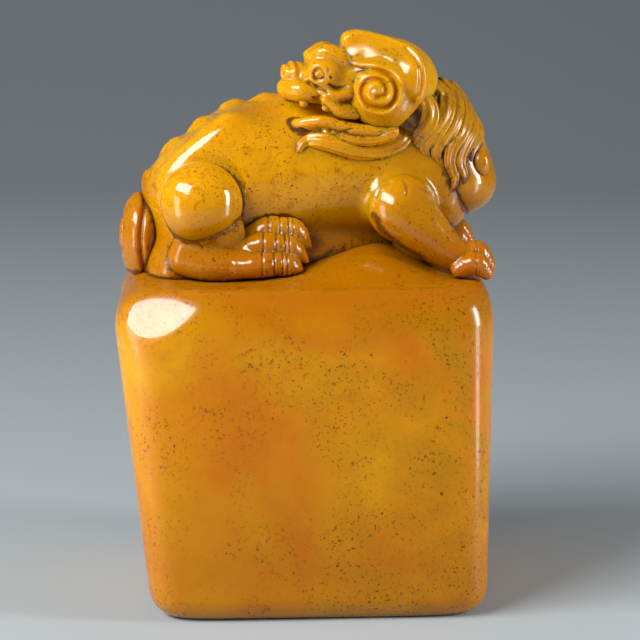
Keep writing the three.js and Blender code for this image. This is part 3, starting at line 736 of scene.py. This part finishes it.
def sweep(knots, face, columns, ridges=0, ridge_height=0, rows=90):
    """A profile carried along a line. Knots are [x, y, z, half width, half height]. The profile is an ellipse whose
    width lies across the line and whose height points along face, with ridges that run along it. Each end is round
    over a length of the half height there."""
    line = smooth_line(knots, rows)
    along = np.gradient(line[:, :3], axis=0)
    travelled = np.concatenate([[0], np.cumsum(length(along)[1:])])
    side = unit(np.cross(unit(along), np.broadcast_to(face, along.shape)))
    lift = np.cross(side, unit(along))
    to_end = np.minimum(travelled, travelled[-1] - travelled) / np.maximum(line[:, 4], 1e-6)
    taper = np.sqrt(np.clip(1 - np.clip(1 - to_end, 0, 1) ** 2, 0.0004, 1))
    angle = round_angles(columns)
    profile = 1 + ridge_height * np.cos(ridges * angle)
    wide = (line[:, 3] * taper)[:, None] * profile * np.cos(angle)
    tall = (line[:, 4] * taper)[:, None] * profile * np.sin(angle)
    return line[:, None, :3] + side[:, None] * wide[..., None] + lift[:, None] * tall[..., None]


def lock_knots(laid, half_width, first, last):
    """Knots of a lock. Its half width is a sine, to the power 0.8, from the first to the last share of a half turn, so
    that the middle swells and the tip is a point. It is 0.6 as thick as wide."""
    width = half_width * np.sin(math.pi * np.linspace(first, last, len(laid))) ** 0.8
    return np.column_stack([laid, width, 0.6 * width])


# %% Mane
MANE_DRAWING = [
    ([(17.2, 28.2), (19, 26.2), (18.8, 23.6), (17.4, 21.2), (16.2, 19), (16.8, 17.2), (17.9, 16.2)], 1.15),
    ([(18.4, 28.4), (20.3, 26.8), (20.8, 24.6), (20, 22), (18.6, 19.8), (17.9, 18), (18.6, 16.4), (19.2, 14.8)], 1),
    ([(20, 28), (22, 25.6), (22.5, 23), (21.6, 20.4), (20.2, 18.6), (19.9, 16.4), (20.6, 14.2), (19.6, 11.4)], 1.1),
    ([(21.6, 26), (23.2, 23.2), (23.3, 20.8), (22, 18.8), (21.4, 16.8), (22, 14.8), (21.6, 13.4)], 1),
    ([(14.6, 27), (16.2, 25), (16.4, 22.8), (15.4, 20.8), (14.6, 19.2), (15, 17.4)], 1.2),
    ([(15.6, 20.6), (15, 18.4), (16, 16.2), (17.8, 15), (18.6, 13.2), (18.6, 11)], 0.95),
    ([(23.2, 23.6), (24.4, 21.4), (24.2, 19.6), (23.2, 18), (22.9, 16.6)], 0.8),
]
MANE_CENTRE = np.array([15.5, -1, 18])
CAD_LOCKS = 4

for side_name, side in (("right", -1), ("left", 1)):
    for number, (drawn, half_width) in enumerate(MANE_DRAWING, start=1):
        laid = lay_on(neck, smooth_line(drawn, 14), side, 0.15)
        face = smooth_line(unit(laid - MANE_CENTRE), 90)
        strand = sweep(lock_knots(laid, 1.4 * half_width, 0.28, 0.94), face, 56, 8, 0.08)
        nodes = [f"{side_name}_mane_lock_{number}"] if number <= CAD_LOCKS else []
        # Painted shade and dirt where each lock lies on the neck.
        add_skin(f"{side_name}_mane_lock_skin_{number}", strand, nodes, "carved_detail_stone",
                 stain=1.1 * creases(strand, [neck], 0.5))

# %% Bead on the chest
bead = globe(50, 70) * [1.3, 1.1, 1.9] + lay_on(neck, [(24.1, 16.3)], -1)[0] + [0.35, 0.1, 0]
# Painted shade and dirt where the bead meets the neck.
add_skin("chest_bead_skin", bead, ["chest_bead"], "carved_detail_stone", stain=creases(bead, [neck], 0.4))

# %% [markdown]
# ## Head
# The head is two skins: the skull with the upper jaw, and the lower jaw. Each is found by rays in the head's own
# frame and then turned into place. A ring is cut round each eye, with a small dome inside. Lines beside the eye and
# the mouth fold the cheek, and ridges run across the nose.

# %% Skull and upper jaw
SKULL_LINE = [(-2.5, 0, 0.2), (3, 0, 0), (8, 0, 0.2), (11, 0, 0.4)]
EYE, EYE_RING = np.array([10, 5, 1.6]), 0.8
CHEEK_CUTS = [[(8.4, 5, 0), (7.4, 5.2, -0.5), (6.2, 5.4, -0.3)], [(8.7, 5, 2.3), (8.6, 5.1, 2)],
              [(8.3, 5, 1.2), (8.2, 5.1, 1)], [(11.4, 4, 0.4), (10.2, 4.6, -0.3), (8.8, 4.9, -0.9)],
              [(10.8, 4.6, -1.8), (9.4, 4.9, -2.6), (8, 5.2, -3.8)]]

angle = np.linspace(0, 2 * math.pi, 25)
eye_ring = EYE + EYE_RING * stacked(np.cos(angle), 0 * angle, np.sin(angle))
face_cuts = [np.array(line) * [1, side, 1] for line in [eye_ring, *CHEEK_CUTS] for side in (1, -1)]
skull = walk_to_skin(upper_head, *bristles(SKULL_LINE, 230, 260, 65), 11)
lid_bell = groove(skull, face_cuts, 0.26, (1, 0.35, 1), 0)
skull = sink(skull, 0.38 * lid_bell)
nose_zone = bell(length((skull - [13.6, 0, 2]) / [2.2, 3.2, 1.8]), 1)
nose_ridges = np.sin(skull[..., 0] * 5.2 + 0.8 * np.abs(skull[..., 1]))
skull = from_head(sink(skull, -0.2 * nose_zone * nose_ridges))
# Painted shade and dirt in the head's creases and cut lines.
skull_stain = np.maximum(creases(skull, [body, jaw_skin, neck]), 0.9 * lid_bell**0.4)
SKULL_NODES = ["skull", "upper_jaw", "nose", "left_brow", "right_brow", "left_upper_lip", "right_upper_lip"]
add_skin("head_skin", skull, SKULL_NODES, stain=skull_stain)

# %% [markdown]
# The whiskers are drawn from the side and cut straight through, so one drawing marks both sides of the jaw. They stop
# before the chin, where y is small.

# %% Lower jaw
JAW_LINE = [(-0.5, 0, -7), (7, 0, -6.9), (11.5, 0, -6.9)]
WHISKERS = [[(12.6, -6.4), (11.2, -6.9), (9.6, -6.6)], [(10.4, -7.6), (8.8, -8.1), (7, -7.7), (5.8, -6.9)],
            [(8.4, -6.6), (7, -6.9), (5.2, -6.2)]]
CHIN = 2

jaw = walk_to_skin(lower_jaw, *bristles(JAW_LINE, 150, 200, 40), 8)
whisker_bell = groove(jaw[..., [0, 2]], WHISKERS, 0.22, (1, 1), 12) * (np.abs(jaw[..., 1]) > CHIN)
jaw = from_head(sink(jaw, 0.3 * whisker_bell))
# Painted shade and dirt in the whisker lines and where the jaw meets the body and head.
add_skin("lower_jaw_skin", jaw, ["lower_jaw"], stain=np.maximum(whisker_bell, creases(jaw, [body, upper_skin])))

# %% [markdown]
# Eyes and teeth are squashed globes, half sunk in the head: on each side a fang at the front corner of the mouth,
# with a molar behind it.

# %% Eyes and teeth
# The last number is how much of the crease brown is laid all over each dome.
for side_name, side in (("left", 1), ("right", -1)):
    for kind, halves, place, nodes, dome_brown in (
        ("eye", [0.5, 0.5, 0.5], EYE - [0, 0.15, 0], ["eye"], 0),
        ("fang", [0.7, 0.7, 0.8], [12, 3.7, -2.5], ["teeth"], 0.3),
        ("molar", [0.8, 0.8, 0.6], [8.7, 4.5, -3.3], [], 0.3),
    ):
        dome = from_head(globe(30, 40) * halves + np.array(place) * [1, side, 1])
        add_skin(f"{side_name}_{kind}_skin", dome, [f"{side_name}_{node}" for node in nodes], "carved_detail_stone",
                 stain=np.full(dome.shape[:2], dome_brown))

# %% [markdown]
# ## Ears
# Each ear is a thick leaf on the cheek: a blunt slab over the brow, a full lobe under it, and a rim along the back. A
# groove that winds inwards makes the lobe look rolled up like a ram's horn. A relief suits this best: the outline is
# drawn in the head's frame, rings shrink from it to a middle point, and each point of the face gets a height.

# %% Ear outline and its drawn lines
LEAF = np.array([
    (6, 5), (5.8, 3.2), (4.5, 2.3), (5, 1), (5.3, -0.9), (5.2, -2.8), (4.5, -4.4), (3.2, -5.8), (1.3, -6.6),
    (-0.6, -6.6), (-2.5, -5.5), (-3.8, -4.1), (-5, -1.9), (-5.6, 0.6), (-5.4, 2.9), (-4.6, 4.7), (-3, 5.9),
    (-0.5, 6.9), (2, 7.5), (3.9, 7.7), (5.3, 7.3), (5.9, 6.4),
])
ROLL = [(5.4, 2.5), (4.2, 2.3), (1.6, 2.2), (-0.3, 1.3), (-1, -0.4), (-0.6, -2.2), (0.9, -3.2), (2.9, -2.7),
        (3.8, -0.9), (3.1, 0.6), (1.5, 0.9), (0.5, 0), (0.7, -1.2), (1.8, -1.6)]
RIM = [(-2.6, 5.3), (-4, 3.6), (-4.5, 1.6), (-4.4, -0.4), (-3.6, -2.4)]
LEAF_MIDDLE = np.array([0.4, 0.6])
LEAF_RIM, LEAF_BACK, LEAF_TOP = 2.8, 0.2, 8.8


# %% Ear relief
def leaf_face(x, z):
    """Height of the face before it falls to the rim: the higher of a slab with two slopes, which leans back towards
    its upper front, and a domed lobe, held under LEAF_TOP."""
    slab = join(6.8 - 0.38 * (x - 0.4) - 0.48 * (z - 3), 7.82 - 0.534 * x + 0.9 * (z - 1.2 - 0.32 * x), 0.5)
    lobe = 3.0 + 5.1 * np.sqrt(np.clip(1 - ((x - 0.1) / 6.4) ** 2 - ((z + 1.3) / 6.2) ** 2, 0.02, 1))
    return join(-join(-slab, -lobe, 0.7), np.full(x.shape, LEAF_TOP), 0.8)


def leaf(columns=340, face_rows=170, back_rows=30):
    """Rings from the middle of the face, over the rim, to the middle of the back. The face falls to the rim by the
    eighth root of one less the share to the eighth power, and the roll and the inside of the rim are cut into it.
    Returns the points and the bells of both cuts."""
    outline = smooth_line(np.concatenate([LEAF, LEAF[:1]]), columns + 1)[:-1]
    share = np.concatenate([np.linspace(0.01, 1, face_rows) ** 0.8, np.linspace(1, 0.02, back_rows)[1:]])
    front = (np.arange(len(share)) < face_rows)[:, None]
    flat = LEAF_MIDDLE + share[:, None, None] * (outline - LEAF_MIDDLE)
    x, z = flat[..., 0], flat[..., 1]
    roll, rim = nearness(flat, smooth_line(ROLL, 80)), nearness(flat, smooth_line(RIM, 80))
    deep = np.clip((np.hypot(x - 2.1, z + 0.9) - 0.2) / 2, 0.5, 1)
    relief = 0.25 * bell(roll - 0.8, 0.5) - 0.75 * deep * bell(roll, 0.36) - 0.4 * bell(rim, 0.45)
    fall = np.clip(1 - share**8, 0, 1)[:, None] ** 0.125
    thick = np.where(front, leaf_face(x, z) + relief - LEAF_RIM, LEAF_BACK - LEAF_RIM)
    cuts = np.maximum(bell(roll, 0.3), 0.6 * bell(rim, 0.4)) * front
    return stacked(x, LEAF_RIM + thick * fall, z), cuts


leaf_grid, leaf_cuts = leaf()
for side_name, side in (("left", 1), ("right", -1)):
    ear = from_head((leaf_grid * [1, side, 1])[:, ::-side])
    ear = sink(ear, 0.05 * ripple(ear, 31, 3.5))
    # Painted shade and dirt in the roll, the rim and where the ear meets the head.
    stain = np.maximum(0.5 * leaf_cuts[:, ::-side], creases(ear, [body, head_skin], 0.35))
    add_skin(f"{side_name}_ear_skin", ear, [f"{side_name}_ear", f"{side_name}_ear_roll"], stain=stain)

# %% [markdown]
# ## Beard
# Under the jaw two locks sweep forward along the flank. The outer one ends in a curled tip.

# %% Beard locks
BEARD_DRAWING = [
    ([(14.2, 22), (12.4, 19.9), (9.4, 18.8), (6, 18.9), (3, 19.7), (0, 20.3), (-2, 19.8), (-3, 18.4)], 1.5),
    ([(11.4, 21.8), (9.4, 20.8), (6.6, 20.5), (4, 20.9), (2, 21.6)], 1),
]
OUT_AND_UP = (0, -1, 0.25)


def head_or_body(p):
    """What the beard lies on: the smaller of two distances."""
    return np.minimum(body(p), head_skin(p))


for number, (drawn, half_width) in enumerate(BEARD_DRAWING, start=1):
    laid = lay_on(head_or_body, smooth_line(drawn, 16), -1, 0.1)
    strand = sweep(lock_knots(laid, half_width, 0.25, 0.93), OUT_AND_UP, 60, 8, 0.06)
    # Painted shade and dirt where the beard lies on the head and body.
    add_skin(f"beard_lock_skin_{number}", strand, [f"beard_lock_{number}"], "carved_detail_stone",
             stain=0.8 * creases(strand, [head_or_body], 0.35))

# %% [markdown]
# ## Tail
# The tail stands up behind the rump as a rolled scroll that faces the end of the block. A groove that winds inwards
# is cut into its outer face, and another one runs round its edge. Its root is a broad swept profile.

# %% Tail scroll
SCROLL, SCROLL_HALVES = np.array([-26, 0, 4.8]), np.array([-3.4, 6, 7])
ROOT = [(-19, 0, 3.4, 5.4, 3.4), (-22, 0, 2.2, 5.6, 3.2), (-25, 0, 0.6, 5.2, 2.6), (-26.8, 0, 0.2, 4.2, 1.9)]


def round_scroll(start, end, count, x, wide, tall):
    """A line round the scroll's middle: ellipse points with the given half sizes, at a place along x."""
    turn = np.radians(np.linspace(start, end, count))
    return SCROLL + stacked(x + 0 * turn, wide * np.cos(turn), tall * np.sin(turn))


scroll = globe(170, 220)[..., [1, 0, 2]] * SCROLL_HALVES + SCROLL
coil_radius = np.linspace(4.7, 0.9, 60)
coil = round_scroll(-60, 400, 60, -2.2, 0.84 * coil_radius, coil_radius)
coil_bell = groove(scroll, [coil], 0.5, (0.3, 1, 1), 0) * (scroll[..., 0] < SCROLL[0])
scroll = sink(scroll, 0.95 * coil_bell)
wave = 0.3 + 0.4 * np.cos(np.radians(np.linspace(-210, 750, 30)))
rim_bell = groove(scroll, [round_scroll(-70, 250, 30, wave, 6, 7)], 0.45)
scroll = sink(scroll, 0.55 * rim_bell)
# Painted shade and dirt in the scroll's grooves and where it meets the ledge and body.
scroll_stain = np.maximum(creases(scroll, [ledge_skin, body], 0.7), 0.7 * np.maximum(coil_bell, rim_bell))
add_skin("tail_scroll_skin", scroll, ["tail_scroll"], stain=scroll_stain)
root = sweep(ROOT, (0, 0, 1), 90)
# Painted shade and dirt where the root meets the ledge and body.
add_skin("tail_root_skin", root, ["tail_root"], stain=creases(root, [ledge_skin, body], 0.7))

# %% [markdown]
# ## The stone
# The stone is waxy and half clear: light sinks in, scatters and comes out again, so thin edges glow and deep places
# turn to amber. That is what subsurface scattering does. Clouds of yellow and orange, brown for dirt and painted shade
# in the creases, small pits and dark specks come from noises on Object coordinates, so they run through all the pieces
# as they would through one block. The pits are drawn by the shader too, because they are far finer than the grid of
# the block, and their dark brown paints both the dirt and the shade inside them.


# %% Node helpers
def node(tree, kind, inputs, **settings):
    """A shader node with its settings and inputs: a number or colour is written, and a socket is linked."""
    made = tree.nodes.new(kind)
    for key, value in settings.items():
        setattr(made, key, value)
    for key, value in inputs.items():
        if isinstance(value, bpy.types.NodeSocket):
            tree.links.new(value, made.inputs[key])
        else:
            made.inputs[key].default_value = value
    return made


def clouds(where, size, detail=4, distortion=0, rough=0.5):
    """Noise whose clouds are about size mm across."""
    inputs = {"Vector": where, "Scale": 1 / (size * MM), "Detail": detail, "Roughness": rough,
              "Distortion": distortion}
    return node(where.id_data, "ShaderNodeTexNoise", inputs).outputs[0]


def spread(value, low, high, start=0, end=1):
    """Maps low..high to start..end and holds it there."""
    inputs = {0: value, 1: low, 2: high, 3: start, 4: end}
    return node(value.id_data, "ShaderNodeMapRange", inputs).outputs[0]


def blend(share, first, second):
    """The first colour turned into the second one by the share."""
    return node(share.id_data, "ShaderNodeMix", {0: share, 6: first, 7: second}, data_type="RGBA").outputs[2]


def combine(operation, first, *others):
    """Chains a Math node's operation over a socket and the sockets or numbers after it."""
    for other in others:
        first = node(first.id_data, "ShaderNodeMath", {0: first, 1: other}, operation=operation).outputs[0]
    return first


plus, times, largest = (partial(combine, operation) for operation in ("ADD", "MULTIPLY", "MAXIMUM"))


def attribute(tree, name):
    return node(tree, "ShaderNodeAttribute", {}, attribute_name=name).outputs["Fac"]


def from_srgb(red, green, blue):
    """A screen colour of 0 to 255 as the linear colour that shaders use."""
    parts = np.array([red, green, blue]) / 255
    linear = np.where(parts <= 0.04045, parts / 12.92, ((parts + 0.055) / 1.055) ** 2.4)
    return (*linear.tolist(), 1)


# %% Pits
MAIN_PITS = [(1.6, 35.8, 0.35), (-14.4, 31.6, 0.25), (6.9, 32, 0.2), (11.3, 50.4, 0.3), (1.4, 24.4, 0.25)]


def pits(where):
    """1 inside a pit and 0 outside: round cells of a Voronoi texture where a cloud lets them through, and the few
    large ones on the front, each a ragged disc round its own place (x, z, radius in mm)."""
    tree = where.id_data
    cells = node(tree, "ShaderNodeTexVoronoi", {"Vector": where, "Scale": 1 / (2.4 * MM)}).outputs["Distance"]
    ragged = times(clouds(where, 0.35, 5, 0.5), 0.3)
    holes = times(spread(plus(cells, ragged), 0.2, 0.25, 1, 0), spread(clouds(where, 8, 2), 0.46, 0.6))
    flat = node(tree, "ShaderNodeVectorMath", {0: where, 1: (1, 0, 1)}, operation="MULTIPLY").outputs[0]
    for x, z, radius in MAIN_PITS:
        inputs = {0: flat, 1: (x * MM, 0, z * MM)}
        away = node(tree, "ShaderNodeVectorMath", inputs, operation="DISTANCE").outputs["Value"]
        edge = plus(away, times(ragged, 2.0 * MM))
        holes = largest(holes, spread(edge, (radius + 0.25) * MM, (radius + 0.05) * MM))
    return holes


# %% Colour of the stone
AMBER = from_srgb(188, 106, 0)
YELLOW = from_srgb(204, 146, 0)
OLIVE = from_srgb(174, 122, 0)
DEEP = from_srgb(144, 78, 0)
# Brown of the specks, and of the dirt and painted shade in creases and pits.
BROWN_DIRT_AND_SHADE = from_srgb(84, 36, 3)


def split(where):
    """The x and z of a place as sockets."""
    outputs = node(where.id_data, "ShaderNodeSeparateXYZ", {0: where}).outputs
    return outputs[0], outputs[2]


def deep_share(where, haze):
    """How deep the colour is, as the largest of its causes: veins and smoky clouds of strength haze, which thin out
    towards the head, and painted shade on the tail, low on the block, and in a band at the ledge that climbs behind
    the chest."""
    x, z = split(where)
    veins = spread(clouds(where, 12, 6, 2.5), 0.5, 0.72, 0, 0.12)
    # The tail, foot, ledge and chest shares are painted shade: darker on the tail, towards the bottom of the block,
    # under the beast at the ledge and under the chest.
    tail = times(spread(x, -0.0235, -0.0255, 0, 0.7), spread(z, 0.046, 0.05))
    foot = spread(z, 0.03, 0.008, 0, 0.45)
    from_ledge = combine("ABSOLUTE", combine("SUBTRACT", z, 0.0515), 0)
    ledge = spread(from_ledge, 0.003, 0.011, 0.7, 0)
    chest = times(spread(x, 0.004, 0.013, 0, 0.45), spread(z, 0.073, 0.066), spread(z, 0.045, 0.05))
    smoke = times(spread(clouds(where, 3.2, 7, 1.6, 0.66), 0.5, 0.64, 0, haze), spread(z, 0.074, 0.06, 0.3, 1.3))
    return largest(veins, tail, foot, ledge, chest, smoke)


def specks(where):
    """Fine specks and grains where a swarm's cloud lets them through, denser low on the right."""
    x, z = split(where)
    dense = times(spread(x, 0, 0.02, 0, 0.12), spread(z, 0.03, 0.012))
    swarm = spread(plus(clouds(where, 9, 3, 0.5), dense), 0.38, 0.55)
    fine = spread(clouds(where, 0.42, 3, 0.4, 0.6), 0.595, 0.645)
    grains = spread(clouds(where, 1.3, 8, 0.8, 0.78), 0.61, 0.67)
    return times(largest(fine, grains), swarm)


def stone_colour(where, stain, speck_share, haze, holes):
    """Amber with yellow clouds, more yellow high up, more yellow to the left at the rump as painted light from the
    window on that side, and more olive towards +X, then the deep places with their painted shade, the specks, and the
    brown of dirt and painted shade, which is the crease attribute roughened by a cloud, and the pits."""
    x, z = split(where)
    upward = spread(z, 0.052, 0.064, -0.05, 0.16)
    yellow = spread(plus(clouds(where, 26, 4, 0.8), upward), 0.33, 0.62)
    # Painted light: the colour turns more yellow towards the left, where the window's light falls.
    yellow = plus(yellow, spread(x, -0.012, -0.022, 0, 0.45))
    olive = times(spread(x, -0.020, 0.022), spread(clouds(where, 9, 5, 1.2), 0.35, 0.65))
    base = blend(olive, blend(yellow, AMBER, YELLOW), OLIVE)
    base = blend(deep_share(where, haze), base, DEEP)
    base = blend(times(specks(where), speck_share), base, BROWN_DIRT_AND_SHADE)
    # Brown dirt and painted shade: the crease attribute roughened by a cloud, and the pits.
    grit_and_shade = plus(clouds(where, 0.9, 8, 1, 0.75), times(stain, 0.42))
    return blend(largest(spread(grit_and_shade, 0.74, 0.86, 0, 0.9), holes), base, BROWN_DIRT_AND_SHADE)


# %% [markdown]
# The bump gives soft unevenness everywhere, and on the block the pits and a coarse left edge. The three finishes are
# one stone: the block shines less, and its gleam adds a coat of polish. In small pieces light travels less far, so
# that they don't turn milky.


# %% Relief and finishes
def stone_relief(where, holes, pitted):
    """Heights for the bump, as a sum of a broad cloud and a fine one, less the pits, plus the coarse edge."""
    height = plus(times(clouds(where, 2.4, 3), 0.5), times(clouds(where, 0.6, 3, 0.6), 0.1))
    if not pitted:
        return height
    coarse = times(clouds(where, 0.9, 6, 0, 0.7), spread(split(where)[0], -0.016, -0.024, 0.15, 3))
    return plus(height, times(holes, -1.5), coarse)


def stone_material(name, polish, speck_share, depth, haze, shine, pitted=False):
    """One stone in three finishes. polish is the base roughness, speck_share how much dark speckle shows, depth how
    far light travels inside, in metres, haze the strength of its smoky clouds, shine its specular level, and pitted
    adds the ground block's pits and gleam."""
    material = bpy.data.materials.new(name)
    material.use_nodes = True
    tree = material.node_tree
    tree.nodes.clear()
    where = node(tree, "ShaderNodeTexCoord", {}).outputs["Object"]
    # Reads the attribute of brown dirt and painted shade.
    stain = attribute(tree, "stain")
    holes = pits(where) if pitted else 0.0
    rough = plus(spread(clouds(where, 5, 5, 1), 0.35, 0.7, polish - 0.03, polish + 0.06),
                 times(largest(stain, holes), 0.2))
    coat = 0.05
    if pitted:
        gleam = attribute(tree, "gleam")
        rough = plus(rough, spread(gleam, 0, 0.6, 0.16, 0))
        coat = times(gleam, 0.5)
    inputs = {"Strength": 0.4, "Distance": 0.12 * MM, "Height": stone_relief(where, holes, pitted)}
    bump = node(tree, "ShaderNodeBump", inputs)
    inputs = {
        "Base Color": stone_colour(where, stain, speck_share, haze, holes), "Roughness": rough, "IOR": 1.5,
        "Specular IOR Level": shine, "Coat Weight": coat, "Coat Roughness": 0.03, "Normal": bump.outputs[0],
        "Subsurface Weight": 0.9, "Subsurface Scale": depth, "Subsurface Radius": (1, 0.42, 0.08),
    }
    shader = node(tree, "ShaderNodeBsdfPrincipled", inputs, subsurface_method="RANDOM_WALK")
    node(tree, "ShaderNodeOutputMaterial", {0: shader.outputs[0]})
    return material


FINISHES = {
    "block_stone": stone_material("ground_stone", 0.12, 0.9, 0.005, 0.15, 0.22, pitted=True),
    "carved_stone": stone_material("polished_stone", 0.1, 0.8, 0.004, 0.45, 0.4),
    "carved_detail_stone": stone_material("detail_stone", 0.12, 0.5, 0.001, 0.45, 0.4),
}
for piece, slot in seated:
    piece.data.materials.append(FINISHES[slot])
print("finishes:", ", ".join(FINISHES), "on", len(seated), "skins")

# %% [markdown]
# ## Floor and light
# The seal stands on a plain pale floor that curves up behind it. A large soft window of light at the upper left gives
# the long highlights on the ear, the back and the shoulder of the block, and one at the right draws the line on the
# chest. Two faint ones low down, close to the seal, mark the upright edges of the block.

# %% Floor
WIDTH, FRONT, BEND_START, BEND_RADIUS, BACK_WALL = 2, -1.5, 0.5, 0.9, (1.4, 2.5)

rise = np.linspace(0, math.pi / 2, 40)
arc = stacked(BEND_START + BEND_RADIUS * np.sin(rise), BEND_RADIUS - BEND_RADIUS * np.cos(rise))
bend = np.concatenate([[(FRONT, 0)], arc, [BACK_WALL]])
sheet = np.stack([np.insert(bend, 0, x, axis=1) for x in (-WIDTH, WIDTH)], axis=1)
index = np.arange(2 * len(bend)).reshape(-1, 2)
quads = np.concatenate([index[:-1], index[1:, ::-1]], axis=1)
floor = smooth_mesh("pale_floor", sheet.reshape(-1, 3), quads.tolist())
paper = bpy.data.materials.new("pale_paper")
paper.use_nodes = True
paper_shader = paper.node_tree.nodes["Principled BSDF"]
paper_shader.inputs["Base Color"].default_value = from_srgb(160, 167, 170)
paper_shader.inputs["Roughness"].default_value = 0.6
floor.data.materials.append(paper)
print("floor:", len(quads), "quads")

# %% Lamps and world
AIM = np.array([0, 0, 0.05])


def window(name, place, size, power):
    """A rectangle of soft light that faces the seal."""
    lamp = bpy.data.objects.new(name, bpy.data.lights.new(name, "AREA"))
    bpy.context.scene.collection.objects.link(lamp)
    lamp.data.shape = "RECTANGLE"
    lamp.data.size, lamp.data.size_y = size
    lamp.data.energy = power
    lamp.location = place
    x, y, z = AIM - place
    lamp.rotation_euler = (math.atan2(math.hypot(x, y), -z), 0, math.atan2(y, x) - math.pi / 2)


window("window_left", (-0.42, -0.27, 0.40), (0.45, 0.21), 6.1)
window("window_right", (0.50, -0.15, 0.17), (0.10, 0.26), 2.3)
window("edge_right", (0.11, -0.05, 0.035), (0.02, 0.07), 0.03)
window("edge_left", (-0.16, -0.075, 0.05), (0.05, 0.10), 0.10)
world = bpy.data.worlds.new("soft_room")
world.use_nodes = True
background = world.node_tree.nodes["Background"].inputs
background["Color"].default_value = (0.86, 0.93, 1, 1)
background["Strength"].default_value = 0.16
bpy.context.scene.world = world
bpy.context.scene.view_settings.view_transform = "Standard"
print("lamps:", len(bpy.data.lights))
